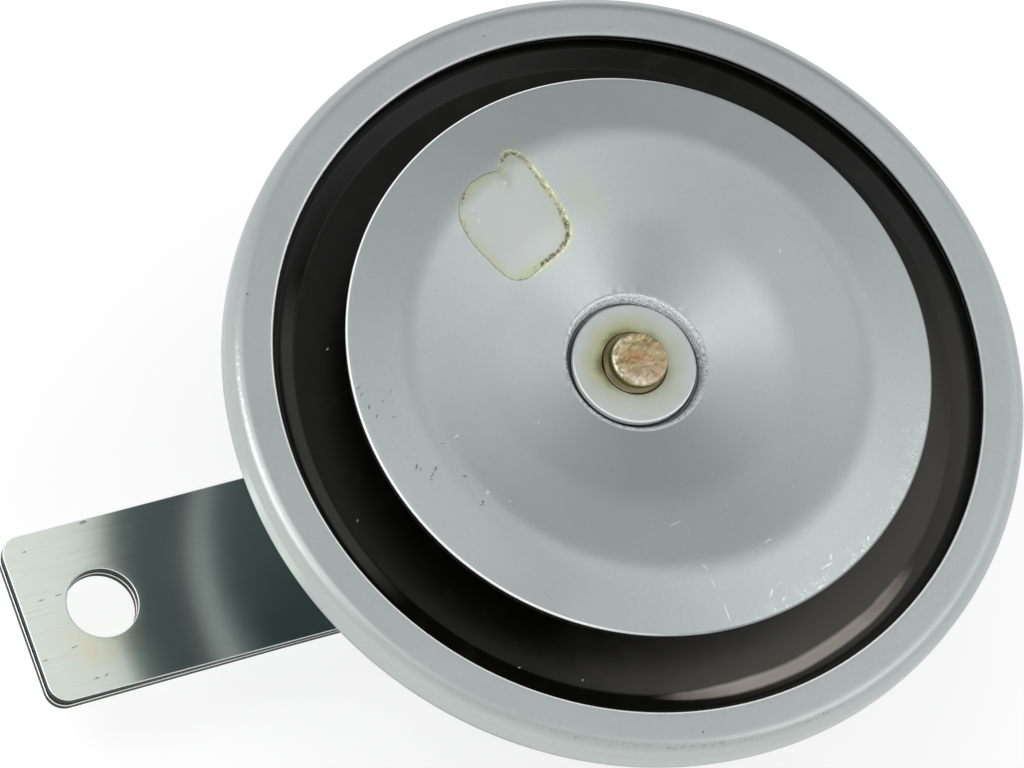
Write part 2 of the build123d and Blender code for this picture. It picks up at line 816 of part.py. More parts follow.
with BuildPart() as spring_washer:
    revolve(ring_section(mount_hole_radius, lock_washer_radius, lock_washer_under, washer_under), axis=horn_axis)
    with BuildSketch(horn_plane(lock_washer_under)):
        Rectangle(lock_washer_radius, lock_washer_slit, align=(Align.MIN, Align.CENTER))
    extrude(amount=lock_washer_thickness, mode=Mode.SUBTRACT)

with BuildPart() as hex_nut:
    with BuildSketch(horn_plane(nut_under)):
        RegularPolygon(nut_across_flats / 2, 6, major_radius=False)
        Circle(mount_stud_radius + nut_clearance, mode=Mode.SUBTRACT)
    extrude(amount=nut_height)
    # the corners are turned off at both ends
    nut_corner = nut_across_flats / 3 ** (1 / 2)
    with BuildSketch(horn_section):
        with BuildLine():
            Polyline(
                (nut_across_flats / 2, nut_under),
                (nut_corner + nut_chamfer_depth, nut_under),
                (nut_corner + nut_chamfer_depth, nut_under + nut_chamfer_depth + nut_chamfer_depth),
                close=True,
            )
            Polyline(
                (nut_across_flats / 2, lock_washer_under),
                (nut_corner + nut_chamfer_depth, lock_washer_under),
                (
                    nut_corner + nut_chamfer_depth,
                    lock_washer_under - nut_chamfer_depth - nut_chamfer_depth,
                ),
                close=True,
            )
        make_face()
    revolve(axis=horn_axis, mode=Mode.SUBTRACT)

housing_shell.part.label = "housing_shell"
export_step(housing_shell.part, "parts/housing_shell.step")
rim_ring.part.label = "rim_ring"
export_step(rim_ring.part, "parts/rim_ring.step")
rear_gasket.part.label = "rear_gasket"
export_step(rear_gasket.part, "parts/rear_gasket.step")
front_gasket.part.label = "front_gasket"
export_step(front_gasket.part, "parts/front_gasket.step")
diaphragm.part.label = "diaphragm"
export_step(diaphragm.part, "parts/diaphragm.step")
armature.part.label = "armature"
export_step(armature.part, "parts/armature.step")
diaphragm_washer.part.label = "diaphragm_washer"
export_step(diaphragm_washer.part, "parts/diaphragm_washer.step")
spacer_collar.part.label = "spacer_collar"
export_step(spacer_collar.part, "parts/spacer_collar.step")
tone_disc.part.label = "tone_disc"
export_step(tone_disc.part, "parts/tone_disc.step")
front_washer.part.label = "front_washer"
export_step(front_washer.part, "parts/front_washer.step")
pole_core.part.label = "pole_core"
export_step(pole_core.part, "parts/pole_core.step")
coil_bobbin.part.label = "coil_bobbin"
export_step(coil_bobbin.part, "parts/coil_bobbin.step")
coil_winding.part.label = "coil_winding"
export_step(coil_winding.part, "parts/coil_winding.step")
coil_leads.part.label = "coil_leads"
export_step(coil_leads.part, "parts/coil_leads.step")
contact_lead.part.label = "contact_lead"
export_step(contact_lead.part, "parts/contact_lead.step")
contact_bracket.part.label = "contact_bracket"
export_step(contact_bracket.part, "parts/contact_bracket.step")
bracket_rivets.part.label = "bracket_rivets"
export_step(bracket_rivets.part, "parts/bracket_rivets.step")
lower_insulator.part.label = "lower_insulator"
export_step(lower_insulator.part, "parts/lower_insulator.step")
middle_insulator.part.label = "middle_insulator"
export_step(middle_insulator.part, "parts/middle_insulator.step")
upper_insulator.part.label = "upper_insulator"
export_step(upper_insulator.part, "parts/upper_insulator.step")
clamp_plate.part.label = "clamp_plate"
export_step(clamp_plate.part, "parts/clamp_plate.step")
contact_spring.part.label = "contact_spring"
export_step(contact_spring.part, "parts/contact_spring.step")
fixed_contact_arm.part.label = "fixed_contact_arm"
export_step(fixed_contact_arm.part, "parts/fixed_contact_arm.step")
fixed_contact_point.part.label = "fixed_contact_point"
export_step(fixed_contact_point.part, "parts/fixed_contact_point.step")
moving_contact_point.part.label = "moving_contact_point"
export_step(moving_contact_point.part, "parts/moving_contact_point.step")
contact_arm.part.label = "contact_arm"
export_step(contact_arm.part, "parts/contact_arm.step")
arm_rivets.part.label = "arm_rivets"
export_step(arm_rivets.part, "parts/arm_rivets.step")
arm_button.part.label = "arm_button"
export_step(arm_button.part, "parts/arm_button.step")
stack_rivets.part.label = "stack_rivets"
export_step(stack_rivets.part, "parts/stack_rivets.step")
adjusting_bush.part.label = "adjusting_bush"
export_step(adjusting_bush.part, "parts/adjusting_bush.step")
adjusting_screw.part.label = "adjusting_screw"
export_step(adjusting_screw.part, "parts/adjusting_screw.step")
terminal_block.part.label = "terminal_block"
export_step(terminal_block.part, "parts/terminal_block.step")
terminal_blade_a.part.label = "terminal_blade_a"
export_step(terminal_blade_a.part, "parts/terminal_blade_a.step")
terminal_blade_b.part.label = "terminal_blade_b"
export_step(terminal_blade_b.part, "parts/terminal_blade_b.step")
terminal_rivets.part.label = "terminal_rivets"
export_step(terminal_rivets.part, "parts/terminal_rivets.step")
bracket_front_leaf.part.label = "bracket_front_leaf"
export_step(bracket_front_leaf.part, "parts/bracket_front_leaf.step")
bracket_rear_leaf.part.label = "bracket_rear_leaf"
export_step(bracket_rear_leaf.part, "parts/bracket_rear_leaf.step")
flat_washer.part.label = "flat_washer"
export_step(flat_washer.part, "parts/flat_washer.step")
spring_washer.part.label = "spring_washer"
export_step(spring_washer.part, "parts/spring_washer.step")
hex_nut.part.label = "hex_nut"
export_step(hex_nut.part, "parts/hex_nut.step")
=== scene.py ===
import json
import math

import bmesh
import bpy
from mathutils import Matrix, Vector
from mathutils import noise as perlin


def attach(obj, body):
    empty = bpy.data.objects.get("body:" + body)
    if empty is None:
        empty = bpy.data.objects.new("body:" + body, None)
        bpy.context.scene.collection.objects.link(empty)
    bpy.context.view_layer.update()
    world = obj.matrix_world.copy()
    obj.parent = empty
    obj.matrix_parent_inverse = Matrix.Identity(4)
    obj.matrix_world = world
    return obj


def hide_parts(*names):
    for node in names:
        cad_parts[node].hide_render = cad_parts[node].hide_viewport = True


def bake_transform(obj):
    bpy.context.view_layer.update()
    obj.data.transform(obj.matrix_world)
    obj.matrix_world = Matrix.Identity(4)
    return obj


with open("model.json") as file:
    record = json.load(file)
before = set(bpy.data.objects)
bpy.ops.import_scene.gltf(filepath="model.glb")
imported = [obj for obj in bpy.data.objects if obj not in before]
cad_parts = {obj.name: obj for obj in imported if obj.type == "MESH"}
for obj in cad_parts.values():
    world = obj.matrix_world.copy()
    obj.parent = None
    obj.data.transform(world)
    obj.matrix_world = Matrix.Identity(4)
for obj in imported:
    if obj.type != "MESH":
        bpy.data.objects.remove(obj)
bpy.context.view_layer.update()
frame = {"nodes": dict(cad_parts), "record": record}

nodes = frame["nodes"]

# Shapes are written in millimetres. x starts at the bracket's bolt hole, and the horn's axis stands at x = REACH.
MM = 0.001
REACH = 62.0
TURN = 2 * math.pi


def tone(red, green, blue):
    """A colour as it shows on screen, 0 to 255, turned into the linear colour that the nodes take."""
    out = []
    for value in (red, green, blue):
        share = value / 255
        out.append(share / 12.92 if share <= 0.04045 else ((share + 0.055) / 1.055) ** 2.4)
    return (out[0], out[1], out[2], 1.0)


def scaled(colour, share):
    return tuple(v * share for v in colour[:3]) + (1.0,)


class Value:
    """An output in a node tree. Sums, differences and products of values add the math nodes for them."""

    def __init__(self, graph, socket):
        self.graph, self.socket = graph, socket

    def __add__(self, other):
        return self.graph.math("ADD", self, other)

    def __radd__(self, other):
        return self.graph.math("ADD", other, self)

    def __sub__(self, other):
        return self.graph.math("SUBTRACT", self, other)

    def __rsub__(self, other):
        return self.graph.math("SUBTRACT", other, self)

    def __mul__(self, other):
        return self.graph.math("MULTIPLY", self, other)


class Graph:
    """A node tree, emptied, and the short calls that fill it."""

    def __init__(self, tree):
        self.tree = tree
        tree.nodes.clear()

    def add(self, kind, **settings):
        node = self.tree.nodes.new(kind)
        for key, value in settings.items():
            setattr(node, key, value)
        return node

    def link(self, source, target):
        self.tree.links.new(source, target)

    def put(self, socket, value):
        if isinstance(value, Value):
            self.link(value.socket, socket)
        else:
            socket.default_value = value

    def out(self, node, key=0):
        return Value(self, node.outputs[key])

    def fill(self, node, *values):
        """Puts the values into the node's inputs, from the first on."""
        for socket, value in zip(node.inputs, values):
            self.put(socket, value)
        return node

    def math(self, operation, first, second=0.0, third=0.0):
        return self.out(self.fill(self.add("ShaderNodeMath", operation=operation), first, second, third))

    def vector(self, operation, first, second=(0, 0, 0)):
        node = self.fill(self.add("ShaderNodeVectorMath", operation=operation), first, second)
        return self.out(node, "Value" if operation in ("LENGTH", "DISTANCE", "DOT_PRODUCT") else "Vector")

    def join(self, x, y, z=0.0):
        return self.out(self.fill(self.add("ShaderNodeCombineXYZ"), x, y, z))

    def split(self, vector):
        node = self.fill(self.add("ShaderNodeSeparateXYZ"), vector)
        return [self.out(node, index) for index in range(3)]

    def span(self, value, low, high, start=0.0, end=1.0, smooth=True):
        node = self.add("ShaderNodeMapRange", interpolation_type="SMOOTHSTEP" if smooth else "LINEAR")
        return self.out(self.fill(node, value, low, high, start, end))

    def mix(self, share, first, second):
        node = self.add("ShaderNodeMix", data_type="RGBA", clamp_factor=True)
        for index, value in ((0, share), (6, first), (7, second)):
            self.put(node.inputs[index], value)
        return self.out(node, 2)


class Net(Graph):
    """A material's nodes. Places are in millimetres from the horn's axis, at the height of the bolt hole."""

    def __init__(self, name, flat=False):
        self.material = bpy.data.materials.new(name)
        self.material.use_nodes = True
        super().__init__(self.material.node_tree)
        self.flat = flat
        self.colour = None
        self.shader = self.add("ShaderNodeBsdfPrincipled")
        self.link(self.shader.outputs[0], self.add("ShaderNodeOutputMaterial").inputs[0])
        coords = self.add("ShaderNodeTexCoord")
        moved = self.vector("SUBTRACT", self.out(coords, "Object"), (REACH * MM, 0, 0))
        self.place = self.vector("MULTIPLY", moved, (1 / MM, 1 / MM, 1 / MM))
        self.normal = self.out(coords, "Normal")
        self.x, self.y, self.z = self.split(self.place)
        self.radius = self.math("SQRT", self.x * self.x + self.y * self.y)
        self.angle = self.math("ARCTAN2", self.y, self.x)

    def over(self, share, *shade):
        """Lays a screen colour over the colour so far, by a share."""
        self.colour = self.mix(share, self.colour, tone(*shade))

    def attribute(self, name):
        return self.out(self.add("ShaderNodeAttribute", attribute_name=name), "Fac")

    def noise(self, scale, detail, rough=0.55, warp=0.0, at=None):
        node = self.add("ShaderNodeTexNoise")
        values = {"Vector": self.place if at is None else at, "Scale": scale, "Detail": detail,
                  "Roughness": rough, "Distortion": warp}
        for key, value in values.items():
            self.put(node.inputs[key], value)
        return self.out(node, "Fac")

    def cells(self, scale, at):
        """The distance to the nearest cell's middle, and two numbers that each cell draws."""
        node = self.add("ShaderNodeTexVoronoi", feature="F1", voronoi_dimensions="2D" if self.flat else "3D")
        self.put(node.inputs["Vector"], at)
        node.inputs["Scale"].default_value = scale
        parts = self.fill(self.add("ShaderNodeSeparateColor"), self.out(node, "Color"))
        return self.out(node, "Distance"), self.out(parts, 0), self.out(parts, 1)

    def fall(self, value, low, high):
        """1 up to low, then down to 0 at high."""
        return 1 - self.span(value, low, high)

    def within(self, value, low, high):
        """1 where the value is less than low away from zero, 0 from high on."""
        return self.fall(self.math("ABSOLUTE", value), low, high)

    def specks(self, scale, size, share):
        """Round specks: about one in 1/share cells holds one, up to size of a cell across."""
        distance, first, second = self.cells(scale, self.place)
        chosen = self.math("LESS_THAN", first, share)
        reach = self.math("MULTIPLY_ADD", second, size * 0.7, size * 0.3)
        return chosen * self.fall(distance, reach * 0.6, reach)

    def hairs(self, scale, length, turn, share, thin):
        """Short straight scratches, all about one way, turned by an angle."""
        cos, sin = math.cos(turn), math.sin(turn)
        along = self.x * cos + self.y * sin
        across = self.x * -sin + self.y * cos
        bend = self.noise(0.15, 1.0) * 2.0
        distance, first, _ = self.cells(scale, self.join(along * (1.0 / length), across + bend))
        return self.math("LESS_THAN", first, share) * self.fall(distance, thin * 0.4, thin)

    def marks(self, *places):
        """Single ticks and nicks at places: (x, y, length, width, turn in degrees)."""
        nearest = None
        for x, y, length, width, turn in places:
            node = self.add("ShaderNodeMapping", vector_type="TEXTURE")
            self.put(node.inputs["Vector"], self.place)
            node.inputs["Location"].default_value = (x, y, 0)
            node.inputs["Rotation"].default_value = (0, 0, math.radians(turn))
            node.inputs["Scale"].default_value = (length / 2, width / 2, 1e6)
            away = self.vector("LENGTH", self.out(node))
            nearest = away if nearest is None else self.math("MINIMUM", nearest, away)
        return self.fall(nearest, 0.55, 1.0) * self.span(self.noise(4.5, 3.0, 0.75), 0.34, 0.52)

    def toward(self, degrees):
        """1 in the given direction from the horn's axis, -1 opposite it."""
        turn = math.radians(degrees)
        return self.math("DIVIDE", self.x * math.cos(turn) + self.y * math.sin(turn), self.radius)

    def finished(self, metallic, rough, *layers, coat=0.0):
        """The material in its colour so far. Each layer is a bump: (height 0 to 1, depth in mm)."""
        values = {"Base Color": self.colour, "Metallic": metallic, "Roughness": rough, "Coat Weight": coat}
        for key, value in values.items():
            self.put(self.shader.inputs[key], value)
        normal = None
        for height, depth in layers:
            node = self.add("ShaderNodeBump")
            node.inputs["Strength"].default_value = 1.0
            node.inputs["Distance"].default_value = depth * MM
            self.put(node.inputs["Height"], height)
            if normal is not None:
                self.link(normal, node.inputs["Normal"])
            normal = node.outputs[0]
        self.link(normal, self.shader.inputs["Normal"])
        return self.material


# ---- Finishes ----

# Single marks that the photo shows on the disc: x, y, length, width in mm, and turn in degrees
DISC_SCRATCHES = ((-26.1, -4.5, 1.0, 0.28, 20), (-25.0, -12.4, 0.8, 0.5, 60), (-22.7, -14.1, 0.4, 0.22, 0),
                  (-15.1, -4.9, 0.35, 0.3, 0), (-3.7, -22.0, 2.1, 0.22, 10), (6.4, -27.3, 1.5, 0.26, 15),
                  (-2.4, -28.4, 1.1, 0.26, -70), (12.6, -32.1, 2.3, 0.24, 16), (13.4, -31.2, 1.1, 0.3, 70),
                  (-1.6, -34.4, 3.2, 0.2, -88), (-2.1, -30.6, 1.6, 0.12, -80), (21.7, 8.2, 0.8, 0.2, 80),
                  (4.6, -33.6, 1.5, 0.3, 55), (5.8, -34.7, 1.0, 0.3, 30), (10.8, -34.4, 1.0, 0.26, 20),
                  (18.9, -30.1, 0.9, 0.3, 70), (17.6, -31.4, 0.6, 0.25, 30), (-13.8, 21.4, 0.5, 0.35, 60),
                  (-14.0, 22.8, 0.35, 0.25, 0), (-13.6, 20.5, 0.3, 0.2, 0))
DISC_CHIPS = ((-32.2, -6.9, 1.2, 0.3, 55), (-31.9, -7.4, 0.7, 0.2, 50), (-30.1, -7.8, 0.9, 0.35, 50),
              (-30.7, -8.4, 1.1, 0.22, 40), (-31.0, -8.9, 0.5, 0.2, 10), (-26.0, -13.4, 0.7, 0.3, 60),
              (-26.3, -13.7, 0.5, 0.2, 0), (-27.0, -9.7, 0.8, 0.28, -50), (-28.2, -5.0, 0.7, 0.18, 0),
              (-35.5, 4.7, 0.9, 0.22, 30), (-35.4, 3.8, 0.8, 0.2, 40), (-35.1, 2.0, 0.9, 0.22, 60),
              (-33.3, 2.2, 0.5, 0.2, 0), (-32.0, 3.1, 0.8, 0.16, 40), (-32.7, -0.1, 0.8, 0.16, 0),
              (-34.6, 0.6, 0.7, 0.2, 50))


def disc_marks(net):
    """Scratches, sparkles and a clouded edge where the disc was handled, and chips down to the primer."""
    lower = net.fall(net.y, -22.0, -7.0) * net.span(net.x, -12.0, 0.0)
    rim_side = net.span(net.toward(-65.0), 0.72, 0.95) * net.span(net.radius, 31.0, 36.0)
    cluster = ((net.hairs(0.5, 1.6, 1.1, 0.045, 0.055) * 0.8 + net.specks(1.5, 0.2, 0.078))
               * (lower * 0.5 + rim_side) * net.span(net.noise(0.3, 3.0), 0.4, 0.54))
    side = net.fall(net.x, -31.5, -25.0) * net.within(net.y + 2.0, 6.0, 11.0)
    sparkle = (net.span(net.toward(-57.0), 0.78, 0.94) * net.span(net.radius, 33.8, 36.2)
               * net.span(net.noise(4.0, 3.0, 0.7), 0.53, 0.61) * net.span(net.noise(0.7, 3.0), 0.44, 0.6))
    scratch = net.math("MINIMUM", cluster + net.marks(*DISC_SCRATCHES) + sparkle, 1.0)
    net.over(scratch * 0.75, 238, 241, 240)
    net.over(side * net.span(net.noise(1.5, 4.0, 0.7), 0.62, 0.7) * 0.25, 120, 126, 126)
    net.over(net.marks(*DISC_CHIPS) * 0.75, 70, 76, 76)


def residue(net):
    """The dried yellow loop with its crumbs, smudge and stain, and painted highlights on its ridge. Gives the
    band's share and the raised height.
    """
    edge = net.attribute("loop") + (net.noise(0.8, 4.0, 0.65) - 0.5) * 0.5
    right = net.span(net.x, -10.5, -6.0)
    inside = net.span(edge, 0.1, -0.15)
    band = inside * net.span(edge, -1.9, -0.1) * (0.24 + net.span(net.noise(0.28, 3.0), 0.35, 0.65) * 0.46)
    outer = net.span(edge, 0.9, 0.05) * net.span(edge, -0.15, 0.05) * right
    line = net.within(edge, 0.03, 0.13) * (0.3 + (1 - right) * 0.25)
    crumbs = net.noise(2.3, 5.0, 0.75)
    flecks = net.within(edge + 0.26, 0.08, 0.44) * net.span(crumbs + net.attribute("busy") * 0.12, 0.58, 0.65)
    inner_line = net.within(edge + 0.35, 0.06, 0.24) * right * net.span(net.noise(1.0, 3.0, 0.7), 0.42, 0.6)
    # Painted highlights along the ridge, mostly on the right.
    glints = (net.within(edge - 0.12, 0.06, 0.24) * net.span(net.noise(1.3, 4.0, 0.7), 0.44, 0.56)
              * (0.1 + right * 0.9))
    net.over(inside * 0.55, 176, 179, 176)
    net.over(band, 190, 194, 152)
    net.over(outer * 0.55, 190, 192, 144)
    net.over(line * 0.9, 112, 112, 84)
    net.over(inner_line * 0.75, 128, 126, 76)
    net.over(flecks * 0.8, 82, 78, 46)
    net.over(glints * 0.85, 228, 230, 190)
    spot = net.vector("DISTANCE", net.join(net.x * 1.2, net.y), (-10.4, 25.6, 0.0))
    smudge = net.fall(spot, 0.2, 2.1) * net.span(net.noise(0.9, 3.0), 0.3, 0.55)
    net.over(smudge * 0.45, 146, 148, 124)
    drop = net.fall(net.vector("DISTANCE", net.join(net.x, net.y), (-8.9, 25.2, 0.0)), 0.12, 0.3)
    net.over(drop * 0.4, 224, 224, 196)
    stain = (net.marks((0.1, 22.2, 12.0, 4.8, -72), (-5.3, 30.0, 3.6, 1.5, 10))
             * net.span(net.noise(0.35, 3.0), 0.34, 0.6))
    net.over(stain * 0.36, 180, 182, 146)
    return band, line * 0.4 + flecks * 0.8 + inside * 0.5


def torn_lip_and_light(net):
    """The scraped and pitted lip of the disc's recess, painted lighter on its far side as light, with painted
    shade on the recess floor beside the washer. Gives the lip's and the scrape's shares and its grain.
    """
    lip = net.fall(net.radius, 8.78, 9.2) * net.span(net.z, 38.1, 38.25)
    # Painted light: the far side of the lip is painted lighter, its scrapes brighter and its pits fainter.
    far = net.span(net.toward(72.0), -0.3, 0.9)
    grain = net.noise(2.6, 4.0, 0.78)
    scraped = lip * net.span(grain, 0.42, 0.52) * (0.3 + far * 0.7)
    pit = lip * net.span(grain, 0.46, 0.4)
    # Painted shade: the recess floor beside the washer is painted near black.
    net.over(net.fall(net.z, 38.14, 38.3) * net.fall(net.radius, 7.95, 8.15) * 0.9, 26, 27, 28)
    net.colour = net.mix(lip * 0.9, net.colour, net.mix(far, tone(176, 182, 184), tone(238, 242, 243)))
    net.over(pit * (1 - far * 0.6) * 0.65, 96, 100, 102)
    net.over(scraped * 0.95, 252, 254, 255)
    return lip, scraped, grain


def rim_marks_and_light(net):
    """Dents, rubs and dots on the ring, with painted light: a highlight and a bright line on the near side of its
    roll, shade on the far side, dark paint on faces turned back for their shade, and a light band over shade on
    the housing wall. Gives the share of the faces turned back.
    """
    # Painted highlight on the near side of the ring's roll.
    roll = net.span(net.radius, 47.9, 48.5)
    near = net.span(net.toward(222.0), 0.0, 0.85)
    net.over(roll * near * 0.26, 212, 216, 212)
    # Painted shade on the far side of the roll.
    away = net.span(net.radius, 49.0, 49.6) * net.span(net.toward(60.0), -0.1, 0.7)
    net.over(away * 0.22, 120, 125, 125)
    dents = roll * net.specks(0.8, 0.12, 0.1) * net.span(net.noise(0.12, 2.0), 0.45, 0.6)
    net.over(dents * 0.8, 240, 242, 241)
    # A line along the roll: bright broken pieces on its left as a painted highlight, and dark pieces low on it.
    line = net.within(net.radius - 48.75 + net.noise(0.3, 2.0) * -0.3, 0.1, 0.3)
    streak = line * net.span(net.noise(2.4, 4.0, 0.7), 0.5, 0.62) * net.span(net.toward(171.0), 0.975, 0.995)
    low = line * net.span(net.noise(1.8, 4.0, 0.7), 0.56, 0.64) * net.span(net.toward(262.0), 0.8, 0.97)
    net.over(streak * 0.6, 250, 251, 250)
    net.over(low * 0.55, 120, 124, 123)
    chips = net.marks((-43.0, 21.4, 0.45, 0.3, 0), (13.4, 43.6, 0.3, 0.25, 0), (-2.6, 46.4, 0.3, 0.25, 0),
                      (-8.0, -46.6, 0.35, 0.25, 0))
    net.over(chips * 0.9, 30, 32, 32)
    # Painted shade: faces turned back are painted a dark grey.
    behind = net.fall(net.split(net.normal)[2] + (net.noise(0.25, 3.0) - 0.5) * 0.15, -0.42, 0.02)
    back_shade_tone = net.mix(net.noise(0.6, 3.0, 0.7), tone(39, 55, 57), tone(77, 98, 100))
    net.colour = net.mix(behind * 0.95, net.colour, back_shade_tone)
    # The housing wall is painted dark near the flange and pale below it: painted shade and a painted light band.
    wall = net.fall(net.radius, 41.0, 41.9) * net.span(net.radius, 38.9, 39.6) * net.span(net.z, 20.9, 21.6)
    net.over(wall * net.span(net.z, 29.4, 31.2) * 0.9, 52, 58, 59)
    net.over(wall * net.fall(net.z, 28.6, 30.4) * 0.9, 222, 229, 229)
    return behind


def silver_paint(name, disc=False):
    """Satin silver spray over black primer: faint clouds and specks, with the marks and the painted light and
    shade of the disc or of the ring.
    """
    net = Net(name, flat=disc)
    clouds = net.noise(0.05, 2.0, 0.5, 0.4)
    fine = net.noise(1.6, 3.0, 0.6)
    flake = net.noise(9.0, 2.0, 0.7)
    net.colour = net.mix(clouds, tone(168, 177, 176), tone(183, 190, 189))
    if disc:
        # Painted shade: the disc darkens towards the upper left.
        net.over(net.span(net.x * -0.6 + net.y * 0.8, 8.0, 40.0) * 0.4, 152, 164, 164)
    net.over(net.span(flake, 0.35, 0.75) * 0.16, 206, 210, 209)
    net.over(net.span(fine, 0.5, 0.72) * 0.1, 140, 148, 147)
    net.over(net.specks(0.6, 0.05, 0.005 if disc else 0.08) * 0.8, 64, 66, 66)
    rough = 0.27 + clouds * 0.06 + fine * 0.04
    metal = 0.6
    layers = [(net.noise(0.16, 2.0), 0.03), (fine, 0.0045), (flake, 0.0012)]
    if disc:
        disc_marks(net)
        band, raised = residue(net)
        lip, scraped, grain = torn_lip_and_light(net)
        rough = rough + scraped * -0.1 + band * 0.15
        metal = 0.6 + lip * 0.3
        layers += [(raised, 0.05), (net.fall(net.z, 38.1, 39.75), 1.1), (lip * grain, 0.28)]
    else:
        rough = rough + rim_marks_and_light(net) * 0.14
    return net.finished(metal, rough, *layers)


def highlit_edge(name, towards, low, high):
    """Corner of a painted or plated sheet with a painted highlight: bright in one direction from the axis, on the
    side where the corner catches the light.
    """
    net = Net(name)
    # Painted highlight: the corner is bright towards one direction from the axis.
    edge_highlight = net.span(net.toward(towards) + (net.noise(0.25, 3.0) - 0.5) * 0.35, low, high)
    fine = net.noise(2.0, 4.0, 0.7)
    net.colour = net.mix(edge_highlight, tone(142, 150, 150), tone(252, 254, 253))
    net.over(net.span(fine, 0.6, 0.7) * 0.3, 140, 146, 146)
    return net.finished(0.1, 0.3 + fine * 0.1, (fine, 0.008))


def black_coat(name):
    """Black stoving paint on the diaphragm: nearly smooth, lighter to the lower right and beside the disc as
    painted sheen over a little dust, with painted sheen and a painted reflection on the groove, a pale streak and
    pale nicks.
    """
    net = Net(name, flat=True)
    clouds = net.noise(0.08, 2.0)
    fine = net.noise(1.1, 3.0, 0.6)
    rings = net.noise(1.0, 2.0, 0.6, at=net.join(net.angle * 6.0, net.radius * 1.4, net.z * 1.4))
    uneven = (net.noise(0.16, 3.0) - 0.5) * 0.25
    net.colour = net.mix(clouds, tone(5, 5, 4), tone(11, 11, 9))
    # Painted sheen over a little dust: lighter to the lower right, less so further out towards the upper right.
    dusty = net.span(net.toward(309.0) + uneven, 0.2, 1.0)
    flat = net.fall(net.radius, 40.9, 41.6)
    thinned = 1 - net.span(net.radius, 37.6, 40.8) * net.span(net.toward(40.0), 0.1, 0.8) * 0.55
    net.over(dusty * flat * thinned, 76, 75, 71)
    # Painted sheen beside the disc, to the right.
    beside = net.fall(net.radius, 37.0, 39.8) * net.span(net.toward(20.0), 0.1, 0.9)
    net.over(beside * 0.75, 70, 69, 66)
    groove = net.span(net.radius, 40.7, 41.5) * net.fall(net.radius, 43.0, 43.5)
    along = net.span(net.toward(284.0) + uneven * 0.3, 0.86, 0.985)
    half = 0.3 + along * 0.85
    streak = along * net.within(net.radius - 41.65 + uneven * 1.2, half * 0.5, half)
    net.over(streak, 166, 159, 152)
    # Painted sheen on the groove to the lower right.
    haze = groove * net.span(net.toward(314.0), 0.55, 0.98)
    net.over(haze * (1 - streak) * 0.9, 66, 65, 62)
    # Painted reflection: a pale band on the groove's left slope.
    stripe = (net.span(net.radius, 41.2, 41.7) * net.fall(net.radius, 42.8, 43.3)
              * net.span(net.toward(178.0), 0.84, 0.96))
    net.over(stripe, 66, 66, 63)
    net.over(net.specks(0.8, 0.04, 0.004) * 0.8, 140, 140, 134)
    nick = net.marks((-34.9, 13.0, 0.55, 0.22, 30), (-38.8, -9.0, 0.5, 0.2, 60), (-26.0, -32.0, 0.4, 0.22, 0),
                     (-19.0, -35.6, 0.4, 0.2, 50))
    net.over(nick * 0.8, 190, 190, 186)
    film = net.span(net.noise(0.3, 3.0, 0.6), 0.52, 0.75) * 0.04
    net.over(film, 84, 84, 78)
    rough = 0.24 + clouds * 0.06 + rings * 0.05 + film * 0.9 + dusty * 0.1
    net.shader.inputs["Specular IOR Level"].default_value = 0.21
    return net.finished(0.0, rough, (net.noise(0.22, 2.0), 0.016), (fine, 0.003), (rings, 0.0015))


def plated(name, low, high, rough, grain, depth, stain=None):
    """Bright plating or bare metal with a directional grain, clouds, specks and an optional stain colour."""
    net = Net(name)
    clouds = net.noise(0.12, 4.0, 0.55, 0.3)
    at = net.join(net.x * grain[0], net.y * grain[1], net.z * grain[2])
    lines = net.noise(2.4, 4.0, 0.65, at=at)
    fine = net.noise(7.0, 3.0, 0.7, at=at)
    net.colour = net.mix(clouds, low, high)
    net.colour = net.mix(net.span(lines, 0.45, 0.75) * 0.25, net.colour, scaled(low, 0.72))
    net.over(net.specks(0.7, 0.06, 0.048) * 0.6, 96, 92, 84)
    if stain is not None:
        net.colour = net.mix(net.span(net.noise(0.18, 4.0, 0.6), 0.5, 0.72) * 0.45, net.colour, stain)
    level = rough + clouds * 0.08 + lines * 0.1
    return net.finished(1.0, level, (lines, depth), (fine, depth * 0.4))


